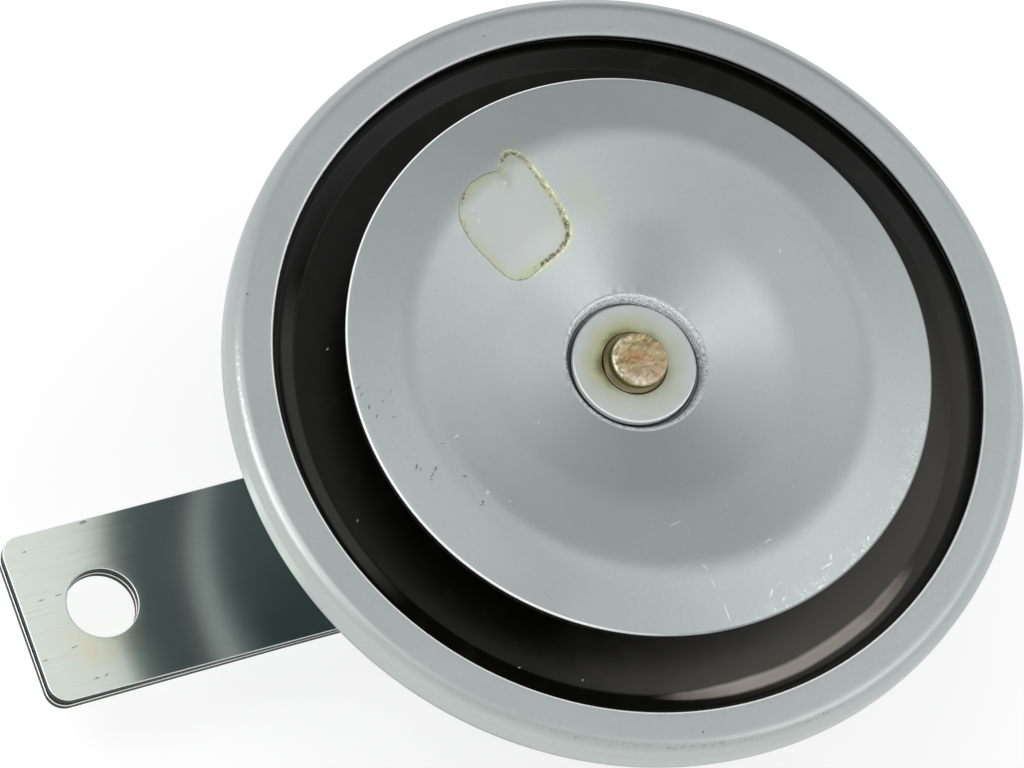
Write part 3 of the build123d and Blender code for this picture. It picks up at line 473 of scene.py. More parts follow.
def leaf_plate(name):
    """Zinc plate on the bracket's strip: fine lines along it, nicks, and a yellow cast near the bolt hole."""
    net = Net(name, flat=True)
    strip = net.x + REACH
    spot = net.join(strip, net.y)
    clouds = net.noise(0.1, 4.0, 0.55, 0.4)
    lines = net.noise(1.0, 4.0, 0.7, at=net.join(net.x * 0.035, net.y * 2.2, net.z))
    hair = net.noise(1.0, 3.0, 0.75, at=net.join(net.x * 0.06, net.y * 7.0, net.z))
    net.colour = net.mix(clouds, tone(229, 239, 231), tone(240, 247, 241))
    net.over(net.span(hair, 0.52, 0.72) * 0.3, 168, 178, 172)
    low_left = net.vector("DISTANCE", spot, (-2.2, -4.2, 0.0))
    cast = net.fall(low_left, 1.0, 7.0) * net.span(net.noise(0.4, 3.0), 0.2, 0.7)
    net.over(cast * 0.6, 240, 230, 186)
    net.over(net.specks(0.5, 0.05, 0.008) * 0.55, 120, 124, 118)
    nicks = net.marks((-60.9, 10.7, 1.3, 0.55, 5), (-69.3, 2.3, 1.0, 0.22, 5), (-67.0, 2.4, 1.2, 0.2, 5),
                      (-64.2, 3.3, 0.8, 0.22, 8), (-69.3, 8.9, 0.6, 0.3, 0), (-71.4, -5.3, 0.9, 0.22, 0),
                      (-67.3, -4.6, 1.1, 0.22, 10), (-66.0, -9.2, 1.0, 0.3, 0), (-64.6, -9.1, 0.7, 0.25, 20))
    net.over(nicks * 0.65, 86, 90, 84)
    hole_rim = net.within(net.vector("LENGTH", spot) - 4.7, 0.1, 0.7)
    level = 0.12 + clouds * 0.04 + lines * 0.05 + hole_rim * 0.03
    # The first layer leans the whole plate's shading, so that its reflections lie where the photo has them
    lean = strip * (1.0 + net.y * 0.035)
    return net.finished(1.0, level, (lean, -0.03), (net.noise(0.07, 2.0), 0.02), (lines, 0.0018), (hair, 0.0008))


def washer_plate(name):
    """Pale plated washer with a yellow-green stain round the stud."""
    net = Net(name)
    clouds = net.noise(0.4, 4.0)
    fine = net.noise(3.5, 4.0, 0.65)
    net.colour = net.mix(clouds, tone(186, 192, 190), tone(202, 207, 206))
    ring = net.radius + (net.noise(0.35, 3.0) - 0.5) * 2.6
    side = net.span(net.toward(125.0), -0.6, 0.9)
    cast = net.fall(ring, 4.2, 7.6)
    net.over(cast * (0.4 + side * 0.45), 176, 178, 126)
    close = net.fall(ring, 3.7, 5.2) * (0.15 + side * 0.7)
    net.over(close, 92, 86, 42)
    net.over(net.specks(0.6, 0.1, 0.14) * 0.6, 118, 122, 120)
    level = 0.38 + clouds * 0.08 + cast * 0.08
    return net.finished(0.55, level, (net.noise(0.5, 2.0), 0.01), (fine, 0.003))


def stud_metal(name):
    """Yellow-passivated iron: the peened end streaked beige and copper with a painted rim highlight, the side dark
    olive and painted darker to the left as shade, and a painted shade band with a painted highlight at its foot.
    """
    net = Net(name)
    clouds = net.noise(0.45, 4.0, 0.6, 0.5)
    turned = net.join(net.x * 0.55 + net.y * 0.25, net.y * 1.5 + net.x * -0.7, net.z)
    streaks = net.noise(1.6, 5.0, 0.72, 0.6, at=turned)
    crumbs = net.noise(1.7, 5.0, 0.7)
    fine = net.noise(5.0, 4.0, 0.7)
    top = net.span(net.z, 40.4, 40.8)
    body = net.mix(clouds, tone(118, 107, 76), tone(150, 139, 104))
    # Painted shade: the side darkens to the left.
    body = net.mix(net.span(net.toward(165.0), 0.35, 0.95) * 0.6, body, tone(66, 57, 34))
    cap = net.mix(net.span(streaks, 0.34, 0.66), tone(144, 126, 84), tone(200, 186, 148))
    cap = net.mix(net.span(net.toward(300.0), -0.5, 0.9) * 0.45, cap, tone(202, 176, 150))
    rim_light = (net.span(net.radius, 1.9, 2.9) * net.span(net.noise(1.4, 3.0), 0.4, 0.58)
                 * net.span(net.toward(190.0), -0.6, 0.5))
    cap = net.mix(rim_light * 0.8, cap, tone(242, 236, 214))
    cap = net.mix(net.fall(crumbs, 0.36, 0.46) * 0.5, cap, tone(112, 94, 56))
    across = net.vector("LENGTH", net.join((net.x + 0.2) * 0.55, net.y - 0.3))
    copper = net.fall(across, 0.2, 1.3) * net.span(streaks, 0.34, 0.56)
    cap = net.mix(copper * 0.55, cap, tone(184, 120, 68))
    net.colour = net.mix(top, body, cap)
    # Painted shade where the stud meets the washer, and a painted highlight on its lower left.
    foot = net.span(net.z, 39.2, 39.32) * net.fall(net.z, 39.38, 39.52)
    glint = foot * net.span(net.toward(214.0), 0.8, 0.95)
    net.over(foot * 0.6, 44, 36, 18)
    net.over(glint, 250, 244, 220)
    level = 0.24 + clouds * 0.1 + crumbs * 0.08
    return net.finished(0.85, level, (streaks, 0.017), (crumbs, 0.022), (fine, 0.01))


def moulded(name, low, high):
    """Moulded plastic with a fine spark texture, flow clouds and rubbed pale dust."""
    net = Net(name)
    clouds = net.noise(0.12, 3.0)
    texture = net.noise(2.8, 4.0, 0.7)
    net.colour = net.mix(clouds, low, high)
    net.over(net.specks(0.9, 0.05, 0.1) * 0.5, 150, 148, 142)
    dusty = tuple(v * 1.8 + 0.01 for v in high[:3]) + (1.0,)
    net.colour = net.mix(net.span(texture, 0.58, 0.78) * 0.2, net.colour, dusty)
    return net.finished(0.0, 0.48 + texture * 0.12, (texture, 0.01), (net.noise(0.3, 2.0), 0.015))


def fibre(name, low, high):
    """Pressed insulating fibre: short matted strands and a dull face."""
    net = Net(name)
    strands = net.noise(1.8, 5.0, 0.75, 1.2)
    clouds = net.noise(0.2, 3.0)
    net.colour = net.mix(net.span(strands, 0.35, 0.68), low, high)
    net.colour = net.mix(clouds * 0.25, net.colour, scaled(low, 0.7))
    return net.finished(0.0, 0.7 + strands * 0.15, (strands, 0.02), (clouds, 0.01))


def winding(name):
    """Enamelled copper wire, wound turn on turn, with painted shade between the turns."""
    net = Net(name)
    wire = net.math("SINE", (net.z + net.angle * 0.08) * (TURN / 0.5))
    turns = net.math("MULTIPLY_ADD", wire, 0.5, 0.5)
    clouds = net.noise(0.5, 3.0)
    net.colour = net.mix(clouds, tone(150, 72, 34), tone(190, 104, 56))
    # Painted shade in the grooves between the turns.
    net.over((1 - turns) * 0.6, 70, 30, 14)
    return net.finished(0.8, 0.22 + clouds * 0.1, (turns, 0.12), (net.noise(3.0, 3.0), 0.004), coat=0.5)


def bare_edge(name):
    """Sheet edge left by the press: black primer over a torn, slightly brighter band."""
    net = Net(name)
    tear = net.noise(1.0, 4.0, 0.7, at=net.join(net.angle * 40.0, net.radius * 0.5, net.z * 0.4))
    clouds = net.noise(0.3, 3.0)
    net.colour = net.mix(net.span(tear, 0.35, 0.7), tone(12, 12, 12), tone(30, 30, 29))
    net.over(net.specks(1.4, 0.06, 0.06) * 0.7, 150, 152, 152)
    return net.finished(0.1, 0.42 + clouds * 0.12, (tear, 0.02), (net.noise(2.0, 3.0), 0.006))


EVEN = (1.0, 1.0, 1.0)
paint = silver_paint("silver_paint_look")
disc_paint = silver_paint("silver_disc_look", disc=True)
primer = bare_edge("black_edge_look")
black = black_coat("black_diaphragm_look")
# Painted highlights on the corners of the disc, the ring and the washer, on the sides that catch the light.
highlit_disc_edge = highlit_edge("rubbed_edge_look", 160.0, -0.30, 0.30)
ring_edge = highlit_edge("ring_edge_look", 215.0, -1.60, 0.40)
washer_edge = highlit_edge("washer_edge_look", 245.0, -0.60, 0.70)
washer_look = washer_plate("plated_washer_look")
stud_look = stud_metal("passivated_iron_look")
leaf_look = leaf_plate("zinc_leaf_look")
zinc = plated("zinc_plate_look", tone(146, 152, 149), tone(178, 183, 179), 0.28, EVEN, 0.003, tone(196, 190, 158))
steel = plated("bright_steel_look", tone(150, 150, 150), tone(182, 182, 182), 0.28, (0.5, 2.0, 2.0), 0.003)
stud_zinc = plated("plated_steel_look", tone(142, 146, 141), tone(172, 175, 168), 0.29, EVEN, 0.003,
                   tone(188, 182, 146))
bronze = plated("spring_bronze_look", tone(176, 138, 84), tone(204, 168, 108), 0.26, (0.2, 3.0, 1.0), 0.003)
silver_tip = plated("contact_metal_look", tone(180, 182, 186), tone(206, 208, 210), 0.30, EVEN, 0.006)
brass = plated("terminal_brass_look", tone(170, 150, 98), tone(196, 178, 126), 0.28, (3.0, 1.0, 0.3), 0.003,
               tone(168, 140, 84))
edge_look = plated("sheared_edge_look", tone(15, 17, 17), tone(62, 67, 66), 0.42, (3.0, 3.0, 0.5), 0.012)
# Painted highlight for the strips' rolled corners that face up.
roll_look = plated("rolled_corner_look", tone(236, 241, 238), tone(252, 254, 252), 0.36, (3.0, 3.0, 0.5), 0.006)

looks = {
    "silver_paint": paint, "black_paint": black, "plated_washer": washer_look, "passivated_iron": stud_look,
    "bright_steel": steel, "plated_steel": stud_zinc, "zinc_plate": zinc, "spring_bronze": bronze,
    "contact_metal": silver_tip, "terminal_brass": brass, "copper_wire": winding("copper_wire_look"),
    "moulded_plastic": moulded("moulded_plastic_look", tone(30, 29, 28), tone(44, 42, 40)),
    "gasket_fibre": fibre("gasket_fibre_look", tone(24, 23, 22), tone(52, 50, 46)),
    "insulating_fibre": fibre("insulating_fibre_look", tone(116, 74, 40), tone(158, 110, 66)),
}
slot_of = {part["node"]: part["material_slot"] for part in frame["record"]["subparts"]}
for node_name, thing in nodes.items():
    for index in range(len(thing.data.materials)):
        thing.data.materials[index] = looks[slot_of[node_name]]


# ---- Building pieces ----

def added(name, data):
    thing = bpy.data.objects.new(name, data)
    bpy.context.scene.collection.objects.link(thing)
    return thing


def finish_mesh(name, verts, faces, tags, materials, sharp):
    """A piece from points in mm and faces, each face's tag naming its material. sharp is in degrees."""
    mesh = bpy.data.meshes.new(name)
    mesh.from_pydata([Vector(v) * MM for v in verts], [], faces)
    for material in materials:
        mesh.materials.append(material)
    mesh.polygons.foreach_set("material_index", tags)
    work = bmesh.new()
    work.from_mesh(mesh)
    bmesh.ops.recalc_face_normals(work, faces=work.faces)
    work.to_mesh(mesh)
    work.free()
    mesh.shade_smooth()
    mesh.set_sharp_from_angle(angle=math.radians(sharp))
    return added(name, mesh)


def sliced(work, axis, places):
    """Cuts a bmesh across an axis (0 for x, 1 for y) at places in mm, so that it can bend there."""
    for at in places:
        bmesh.ops.bisect_plane(work, geom=work.verts[:] + work.edges[:] + work.faces[:], dist=0.0000005,
                               plane_co=[at * MM if k == axis else 0 for k in range(3)],
                               plane_no=[1 if k == axis else 0 for k in range(3)])


def clamp(value):
    return max(0.0, min(1.0, value))


def between(first, second, share):
    return tuple(a + (b - a) * share for a, b in zip(first, second))


def rounded(corners, step, arc):
    """A closed half section from corners: radius, height, rounding, tag of the span that follows.

    A fifth number, where there is one, tags the rounding itself.
    """
    points = []
    for index, (r, z, rounding, tag, *rolled) in enumerate(corners):
        here = Vector((r, z))
        back = (Vector(corners[index - 1][:2]) - here).normalized()
        ahead = (Vector(corners[(index + 1) % len(corners)][:2]) - here).normalized()
        tag_before = corners[index - 1][3]
        opening = back.angle(ahead)
        if rounding <= 0 or abs(opening - math.pi) < 0.001:
            points.append((r, z, tag))
            continue
        cut = rounding / math.tan(opening / 2)
        centre = here + (back + ahead).normalized() * (rounding / math.sin(opening / 2))
        start, end = here + back * cut - centre, here + ahead * cut - centre
        first, last = math.atan2(start.y, start.x), math.atan2(end.y, end.x)
        sweep = (last - first + math.pi) % TURN - math.pi
        for part in range(arc + 1):
            angle = first + sweep * part / arc
            kind = tag_before if part < arc * 0.72 and tag_before == 0 else tag
            if rolled and part < arc:
                kind = rolled[0]
            points.append((centre.x + rounding * math.cos(angle), centre.y + rounding * math.sin(angle), kind))
    full = []
    for index, (r, z, tag) in enumerate(points):
        after = points[(index + 1) % len(points)]
        parts = max(1, int(math.hypot(after[0] - r, after[1] - z) / step))
        if r < 0.001 and after[0] < 0.001:
            parts = 1
        for part in range(parts):
            full.append(between((r, z), after, part / parts) + (tag,))
    return full


def lathe(name, section, materials, count, warp=None, sharp=40.0):
    """Turns a closed half section round the horn's axis in count steps. warp moves a point (x, y, z)."""
    verts, rings = [], []
    for r, z, tag in section:
        ring = []
        for turn in range(1 if r < 0.001 else count):
            angle = TURN * turn / count
            place = (r * math.cos(angle), r * math.sin(angle), z)
            if warp is not None:
                place = warp(*place)
            ring.append(len(verts))
            verts.append((place[0] + REACH, place[1], place[2]))
        rings.append(ring * count if len(ring) == 1 else ring)
    faces, tags = [], []
    for index in range(len(section)):
        low, high = rings[index], rings[(index + 1) % len(rings)]
        if low[0] == low[1] and high[0] == high[1]:
            continue
        for turn in range(count):
            after = (turn + 1) % count
            faces.append(list(dict.fromkeys([low[turn], low[after], high[after], high[turn]])))
            tags.append(section[index][2])
    return finish_mesh(name, verts, faces, tags, materials, sharp)


def shifted(points, amount):
    """The line of points (radius, height) moved to its right side by amount."""
    moved = []
    for index, here in enumerate(points):
        normals = []
        for first, second in ((index - 1, index), (index, index + 1)):
            if first < 0 or second >= len(points):
                continue
            across = Vector(points[second]) - Vector(points[first])
            normals.append(Vector((across.y, -across.x)).normalized())
        mid = sum(normals, Vector((0, 0))).normalized()
        moved.append(tuple(Vector(here) + mid * (amount / mid.dot(normals[0]))))
    return moved


def bump_at(x, y, z):
    return perlin.noise(Vector((x, y, z)))


def ripple(size, scale, seed):
    """A warp that lifts points gently up and down, as pressed sheet is never quite flat."""
    return lambda x, y, z: (x, y, z + bump_at(x * scale + seed, y * scale, seed * 0.37) * size)


def place_piece(thing, body, replaced):
    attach(thing, body)
    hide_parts(replaced)


# Rim ring: a U section of pressed sheet, closed over the flange
rim = rounded([
    (44.5, 36.5, 0.16, 1, 2), (44.5, 37.7, 0.26, 0, 2), (50.05, 37.7, 2.0, 0), (50.05, 31.73, 2.0, 0),
    (45.5, 31.73, 0.25, 1), (45.5, 32.93, 0.12, 1), (48.85, 32.93, 0.8, 1), (48.85, 36.5, 0.8, 1),
], 0.45, 8)
rim_piece = lathe("rim_ring_sheet", rim, [paint, primer, ring_edge], 320, ripple(0.05, 0.045, 3.0))
place_piece(rim_piece, "housing", "rim_ring")

# Tone disc: a dished sheet with a raised crease and a stepped middle
DISC_SHEET = 1.5
disc_front = [(4.05, 38.1), (8.25, 38.1), (8.6, 39.7), (18.5, 42.15), (28.7, 43.5), (36.57, 42.57)]
disc_back = shifted(disc_front, DISC_SHEET)
disc_section = rounded(
    [(*disc_front[0], 0.1, 0)]
    + [(*p, q, 0) for p, q in zip(disc_front[1:5], (0.3, 0.35, 30.0, 12.0))]
    + [(*disc_front[5], 0.24, 1, 2), (*disc_back[5], 0.2, 1)]
    + [(*p, q, 1) for p, q in zip(reversed(disc_back[1:5]), (10.5, 28.5, 0.0, 1.6))]
    + [(*disc_back[0], 0.1, 1)], 0.42, 8)


def disc_warp(x, y, z):
    """A slight unevenness of the sheet, and a torn lip round the recess."""
    lift = 0.05 * bump_at(x * 0.05, y * 0.05, 7.3)
    if 8.2 < math.hypot(x, y) < 9.6 and z > 39.2:
        lift += 0.05 * bump_at(x * 1.4, y * 1.4, 2.0)
    return (x, y, z + lift)


disc = lathe("tone_disc_sheet", disc_section, [disc_paint, primer, highlit_disc_edge], 360, disc_warp)

# The residue loop's outline on the disc, and its places with the most crumbs: x, y, width, height, amount
LOOP_CORNERS = [
    (-16.0, 22.2), (-15.5, 23.9), (-14.3, 25.3), (-12.6, 26.4), (-10.9, 26.9), (-9.5, 26.9), (-8.9, 27.2),
    (-8.6, 28.0), (-7.9, 28.8), (-7.0, 29.0), (-5.9, 28.3), (-5.0, 26.7), (-4.2, 24.6), (-3.4, 22.3), (-2.9, 20.3),
    (-2.7, 18.4), (-3.1, 16.9), (-4.2, 15.8), (-6.3, 14.8), (-8.3, 13.8), (-9.9, 13.2), (-11.5, 13.1),
    (-12.7, 13.9), (-13.9, 15.8), (-15.1, 18.1), (-15.9, 20.2)]
LOOP_CRUMBS = [(-3.2, 17.6, 2.5, 3.6, 1.0), (-6.6, 28.4, 2.6, 1.6, 1.0), (-6.2, 14.9, 3.2, 1.8, 0.6),
               (-14.5, 25.0, 1.6, 1.6, 0.3)]


def smooth_loop(points, parts):
    """A closed curve through the points (Catmull-Rom), in straight parts."""
    out = []
    count = len(points)
    for index in range(count):
        a, b, c, d = (Vector(points[(index + k) % count]) for k in (-1, 0, 1, 2))
        for part in range(parts):
            t = part / parts
            bend = (2 * a - 5 * b + 4 * c - d) * t * t + (3 * b - a - 3 * c + d) * t ** 3
            out.append(0.5 * ((2 * b) + (c - a) * t + bend))
    return out


loop_line = smooth_loop(LOOP_CORNERS, 6)


def loop_distance(x, y):
    """Distance to the loop's outline in mm, negative inside it."""
    here = Vector((x, y))
    best, inside = 1e9, False
    for index, first in enumerate(loop_line):
        second = loop_line[(index + 1) % len(loop_line)]
        along = second - first
        share = clamp((here - first).dot(along) / along.dot(along))
        best = min(best, (here - first - along * share).length)
        if (first.y > y) != (second.y > y):
            if x < first.x + (y - first.y) / (second.y - first.y) * (second.x - first.x):
                inside = not inside
    return -best if inside else best


def paint_disc_values(mesh):
    """Writes the distance to the loop and the share of crumbs on the disc's points, for its material."""
    far = 20.0
    values = {"loop": [], "busy": []}
    for vertex in mesh.vertices:
        x, y = vertex.co.x / MM - REACH, vertex.co.y / MM
        near = -20 < x < 1 and 9 < y < 33 and vertex.co.z > 0.0385
        values["loop"].append(loop_distance(x, y) if near else far)
        crumbs = max(amount * max(0.0, 1 - math.hypot((x - cx) / width, (y - cy) / height))
                     for cx, cy, width, height, amount in LOOP_CRUMBS)
        values["busy"].append(min(1.0, 1.8 * crumbs))
    for name, numbers in values.items():
        mesh.attributes.new(name, "FLOAT", "POINT").data.foreach_set("value", numbers)


paint_disc_values(disc.data)
place_piece(disc, "vibrator", "tone_disc")

# Diaphragm: thin black sheet, clamped at its rim, its middle moves with the armature
film_front = [(48.05, 35.53), (43.6, 35.53), (41.3, 34.75), (33.3, 35.13), (24.0, 34.5), (20.5, 34.05),
              (4.05, 34.05)]
film_back = shifted(film_front, -0.45)
film_bends = (0.9, 0.9, 30.0, 0.9, 0.9)
film_section = rounded(
    [(*film_front[0], 0.05, 0)] + [(*p, q, 0) for p, q in zip(film_front[1:6], film_bends)]
    + [(*film_front[6], 0.05, 0), (*film_back[6], 0.05, 0)]
    + [(*p, q, 0) for p, q in zip(reversed(film_back[1:6]), film_bends)] + [(*film_back[0], 0.05, 0)], 0.6, 6)
film = lathe("diaphragm_sheet", film_section, [black], 256)
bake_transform(film)
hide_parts("diaphragm")

# Front washer, its edge lightly rolled
washer_section = rounded([(4.08, 38.1, 0.05, 0), (7.75, 38.1, 0.12, 2), (7.75, 38.4, 0.0, 1),
                          (7.75, 39.3, 0.18, 0, 1), (4.08, 39.3, 0.12, 0)], 0.3, 6)
washer = lathe("front_washer_piece", washer_section, [washer_look, washer_edge, primer], 160,
               ripple(0.03, 0.3, 5.0))
place_piece(washer, "vibrator", "front_washer")

# Armature: slug, shoulder and stud, the stud's end peened over the washer
STUD_TOP = 40.96
stud_section = rounded([
    (0.0, 19.9, 0.0, 0), (7.2, 19.9, 0.4, 0), (7.2, 30.6, 0.3, 0), (12.0, 30.6, 0.35, 0), (12.0, 33.1, 0.35, 0),
    (3.99, 33.1, 0.2, 0), (3.99, 39.45, 0.08, 0), (3.52, 39.85, 0.15, 0), (3.50, STUD_TOP, 0.32, 0),
    (0.0, 40.93, 0.0, 0),
], 0.22, 6)


def peened(x, y, z):
    """The stud's hammered end: uneven on top, and leaning a little to one side."""
    if z > 39.4 and math.hypot(x, y) < 4.2:
        if z > 40.6:
            z += -0.05 + 0.05 * bump_at(x * 1.7, y * 1.7, z * 1.2) + 0.04 * bump_at(x * 0.6 + 9, y * 0.6, 4.0)
        grow = 1 + 0.012 * bump_at(x * 0.5, y * 0.5, 11.0)
        lean = clamp((z - 39.45) / 1.2)
        x, y = x * grow + 0.30 * lean, y * grow - 0.14 * lean
    return (x, y, min(z, STUD_TOP))


armature = lathe("armature_piece", stud_section, [stud_look], 160, peened)
place_piece(armature, "vibrator", "armature")


# Bracket leaves: sheared strips with rolled and torn edges
def strip_mesh(name, height, gap):
    """A leaf whose front face is at height. Its free end stands gap further back."""
    bevel, sheet, stud_hole, bolt_hole = 0.13, 1.0, 4.1, 4.5
    curve = bpy.data.curves.new(name + "_outline", "CURVE")
    curve.dimensions = "2D"
    curve.fill_mode = "BOTH"
    curve.extrude = (sheet / 2 - bevel) * MM
    curve.bevel_depth = bevel * MM
    curve.bevel_resolution = 2
    curve.offset = -bevel * MM
    low, high, half, corner = -10.15, 74.0, 11.125, 2.5
    outline = []
    for cx, cy, start in ((high - corner, half - corner, 0), (low + corner, half - corner, 90),
                          (low + corner, corner - half, 180), (high - corner, corner - half, 270)):
        for part in range(9):
            angle = math.radians(start + 90 * part / 8)
            outline.append((cx + corner * math.cos(angle), cy + corner * math.sin(angle)))
    loops = [outline]
    for cx, radius in ((0.0, bolt_hole), (REACH, stud_hole)):
        turns = [-TURN * k / 72 for k in range(72)]
        loops.append([(cx + radius * math.cos(angle), radius * math.sin(angle)) for angle in turns])
    for loop in loops:
        line = curve.splines.new("POLY")
        line.points.add(len(loop) - 1)
        for point, (x, y) in zip(line.points, loop):
            point.co = (x * MM, y * MM, 0, 1)
        line.use_cyclic_u = True
    holder = added(name + "_outline", curve)
    bpy.context.view_layer.update()
    mesh = bpy.data.meshes.new_from_object(holder)
    bpy.data.objects.remove(holder)
    work = bmesh.new()
    work.from_mesh(mesh)
    bmesh.ops.remove_doubles(work, verts=work.verts, dist=0.000004)
    sliced(work, 0, [-9.0 + cut * 2.9 for cut in range(29)])
    sliced(work, 1, [-9.0 + cut * 3.0 for cut in range(7)])
    for vertex in work.verts:
        drop = gap * clamp((21.0 - vertex.co.x / MM) / 31.15)
        vertex.co.z += (height - sheet / 2 - drop) * MM
    bmesh.ops.recalc_face_normals(work, faces=work.faces)
    work.normal_update()
    mesh.materials.clear()
    for finish in (leaf_look, edge_look, roll_look):
        mesh.materials.append(finish)
    # Faces that lie level are plate, those of the front rolled corner are painted bright as a highlight, and the
    # rest is torn edge
    level, rolled = 0.985, 0.60
    for face in work.faces:
        face.smooth = True
        up = face.normal.z
        face.material_index = 0 if abs(up) > level else 2 if up > rolled else 1
    for seam in work.edges:
        if len(seam.link_faces) == 2:
            first, second = (face.normal for face in seam.link_faces)
            border = (abs(first.z) > level) != (abs(second.z) > level)
            seam.smooth = not border and first.angle(second, 0.0) < math.radians(50)
    work.to_mesh(mesh)
    work.free()
    return added(name, mesh)


place_piece(strip_mesh("bracket_front_strip", 0.0, 0.0), "housing", "bracket_front_leaf")
place_piece(strip_mesh("bracket_rear_strip", -1.0, 1.1), "housing", "bracket_rear_leaf")

# Magnet core with the mounting stud, whose end is threaded M8 by 1.25
core_section = [(0.0, -14.0), (3.3, -14.0), (3.9, -13.4), (3.9, 1.0), (4.0, 1.2), (15.8, 1.2), (16.0, 1.4),
                (16.0, 3.5), (15.8, 3.7), (7.6, 3.7), (7.5, 3.8), (7.5, 18.7), (7.2, 19.0), (0.0, 19.0)]
fine_core = []
for first, second in zip(core_section, core_section[1:]):
    parts = max(1, int(abs(second[1] - first[1]) / (0.14 if first[0] < 4.05 else 1.5)))
    for part in range(parts):
        fine_core.append(between(first, second, part / parts) + (0,))
fine_core.append(core_section[-1] + (0,))


def threaded(x, y, z):
    """Cuts the thread's groove into the stud, and lets it run out below z 0.6."""
    r = math.hypot(x, y)
    if 2.0 < r < 3.95 and z < 0.6:
        wave = abs(((z / 1.25 - math.atan2(y, x) / TURN) % 1.0) - 0.5) * 2
        depth = 0.62 * clamp((wave - 0.12) / 0.80) * clamp((0.6 - z) / 1.2)
        scale = (r - depth) / r
        x, y = x * scale, y * scale
    return (x, y, z)


core = lathe("pole_core_piece", fine_core, [stud_zinc], 144, threaded, 32.0)
place_piece(core, "housing", "pole_core")


# Nut: six flats, its corners turned off at both ends
def build_nut():
    half, bore, low, high, count = 6.5, 4.05, -12.1, -5.6, 192
    verts, rows = [], []
    for turn in range(count):
        angle = TURN * turn / count
        flat = half / math.cos((angle + math.pi / 6) % (math.pi / 3) - math.pi / 6)
        drop = max(0.0, flat - half + 0.15) * math.tan(math.radians(30)) + 0.02
        row = []
        for r, z in ((bore, low + 0.25), (bore + 0.3, low), (half - 0.15, low), (flat - 0.06, low + drop),
                     (flat, low + drop + 0.12), (flat, (low + high) / 2), (flat, high - drop - 0.12),
                     (flat - 0.06, high - drop), (half - 0.15, high), (bore + 0.3, high), (bore, high - 0.25)):
            row.append(len(verts))
            verts.append((REACH + r * math.cos(angle), r * math.sin(angle), z))
        rows.append(row)
    faces = []
    for turn in range(count):
        here, there = rows[turn], rows[(turn + 1) % count]
        for index in range(len(here)):
            after = (index + 1) % len(here)
            faces.append([here[index], there[index], there[after], here[after]])
    return finish_mesh("hex_nut_piece", verts, faces, [0] * len(faces), [zinc], 28.0)


place_piece(build_nut(), "housing", "hex_nut")

# Contact spring: its free end moves with the contact arm, so a copy is cut finely where it bends
spring_mesh = nodes["contact_spring"].data.copy()
spring_mesh.name = "contact_spring_leaf"
spring_work = bmesh.new()
spring_work.from_mesh(spring_mesh)
sliced(spring_work, 0, [86.6 + 0.15 * k for k in range(12)])
spring_work.to_mesh(spring_mesh)
spring_work.free()
spring = added("contact_spring_leaf", spring_mesh)
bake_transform(spring)
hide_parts("contact_spring")


# ---- Floor, light and camera ----

def studio_floor():
    """A pale floor under the nut. It glows a little for what is seen, and gives its shadows as a diffuse card."""
    size, height = 4.0, -14.25 * MM
    mesh = bpy.data.meshes.new("floor")
    mesh.from_pydata([(-size, -size, height), (size, -size, height), (size, size, height), (-size, size, height)],
                     [], [(0, 1, 2, 3)])
    material = bpy.data.materials.new("floor_look")
    material.use_nodes = True
    net = Graph(material.node_tree)
    path = net.add("ShaderNodeLightPath")
    seen = net.math("MAXIMUM", net.out(path, "Is Camera Ray"), net.out(path, "Is Glossy Ray"))
    seen = net.math("MAXIMUM", seen, net.out(path, "Is Transmission Ray"))
    card = net.fill(net.add("ShaderNodeBsdfDiffuse"), (0.46, 0.46, 0.46, 1))
    glow = net.fill(net.add("ShaderNodeEmission"), (1, 1, 1, 1), seen * 0.64)
    both = net.fill(net.add("ShaderNodeAddShader"), net.out(card), net.out(glow))
    net.link(both.outputs[0], net.add("ShaderNodeOutputMaterial").inputs[0])
    mesh.materials.append(material)
    added("floor", mesh)


studio_floor()

# Soft patches of light (and, below 0, of shade) in the sky: direction, inner and outer edge in degrees, amount
SKY_PATCHES = (
    ((0.44, -0.15, 0.885), 3, 13, 1.75),
    ((0.455, 0.125, 0.880), 3, 11, 1.1),
    ((-0.129, 0.22, 0.967), 3, 11.5, 1.80),
    ((0.150, -0.190, 0.970), 2, 14, -0.62),
    ((0.143, 0.165, 0.975), 2, 11, -0.45),
    ((-0.324, -0.291, 0.900), 3, 14, -0.35),
    ((0.25, 0.47, 0.85), 3, 12, 0.14),
    ((0.43, 0.66, 0.615), 8, 31, -0.66),
    ((0.797, 0.12, 0.589), 4, 14, 0.6),
)


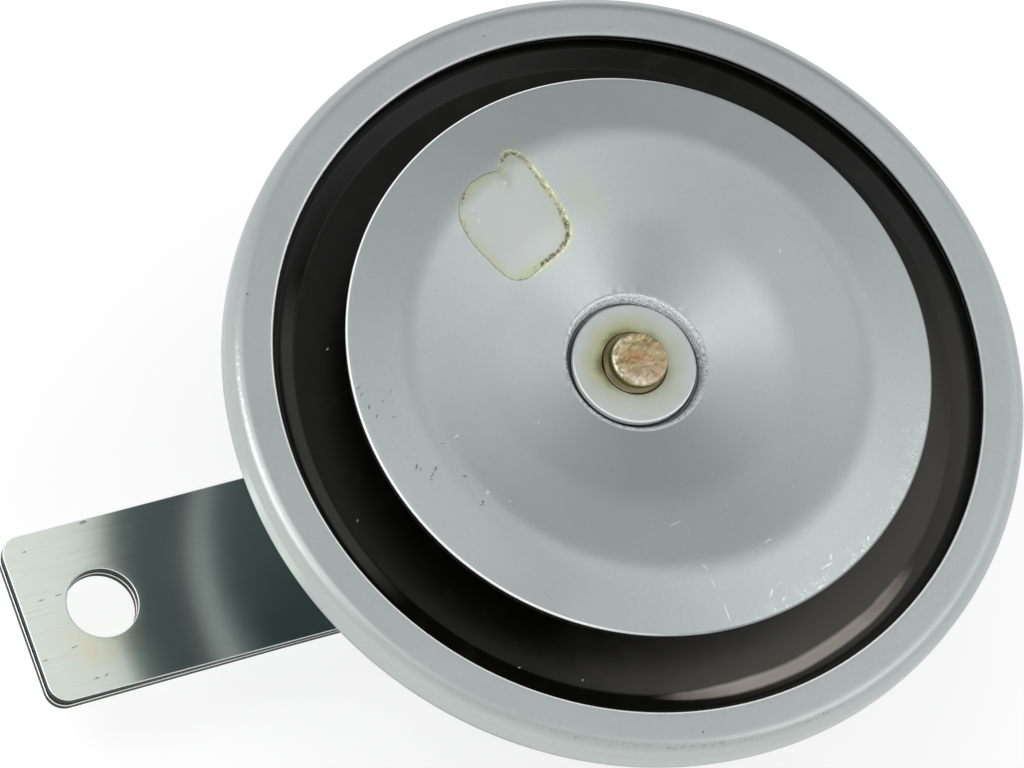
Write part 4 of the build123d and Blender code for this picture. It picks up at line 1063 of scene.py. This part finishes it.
def studio_world():
    """A sky that is paler at the horizon, with soft patches, and plain white where it is seen directly."""
    world = bpy.data.worlds.new("studio")
    bpy.context.scene.world = world
    world.use_nodes = True
    net = Graph(world.node_tree)
    way = net.out(net.add("ShaderNodeTexCoord"), "Generated")
    level = net.span(net.split(way)[2], 0.05, 0.65, 1.10, 0.77, smooth=False)
    for direction, inner, outer, amount in SKY_PATCHES:
        aim = net.vector("DOT_PRODUCT", way, Vector(direction).normalized())
        level = level + net.span(aim, math.cos(math.radians(outer)), math.cos(math.radians(inner)), 0.0, amount)
    level = net.math("MAXIMUM", level, 0.05)
    choose = net.add("ShaderNodeMix", data_type="FLOAT")
    camera_ray = net.out(net.add("ShaderNodeLightPath"), "Is Camera Ray")
    for index, value in ((0, camera_ray), (2, level), (3, 1.0)):
        net.put(choose.inputs[index], value)
    back = net.fill(net.add("ShaderNodeBackground"), (1, 1, 1, 1), net.out(choose))
    net.link(back.outputs[0], net.add("ShaderNodeOutputWorld").inputs[0])


studio_world()

light = bpy.data.lights.new("key", "AREA")
light.shape = "DISK"
light.size = 0.7
light.energy = 3.2
key_place, key_target = Vector((-0.75, 0.35, 1.1)), Vector((0.04, 0, 0.03))
key_aim = (key_target - key_place).to_track_quat("-Z", "Y")
added("key", light).matrix_world = Matrix.Translation(key_place) @ key_aim.to_matrix().to_4x4()

# Camera: where the photo was taken from, recovered from the rim's and the disc's ellipses
camera_data = bpy.data.cameras.new("camera")
camera_data.lens = 293.63
camera_data.sensor_width = 36.0
camera_data.clip_end = 20.0
camera = added("camera", camera_data)
camera_right = (0.91541956, -0.33625997, 0.22121543)
camera_up = (0.23824727, 0.89565673, 0.37554928)
camera_back = (-0.32441528, -0.29108119, 0.9000147)
camera_place = (-0.2817211, -0.2928712, 0.9490655)
camera.matrix_world = Matrix((*zip(camera_right, camera_up, camera_back, camera_place), (0, 0, 0, 1)))
bpy.context.scene.camera = camera
bpy.context.scene.view_settings.view_transform = "Standard"

bpy.context.view_layer.update()
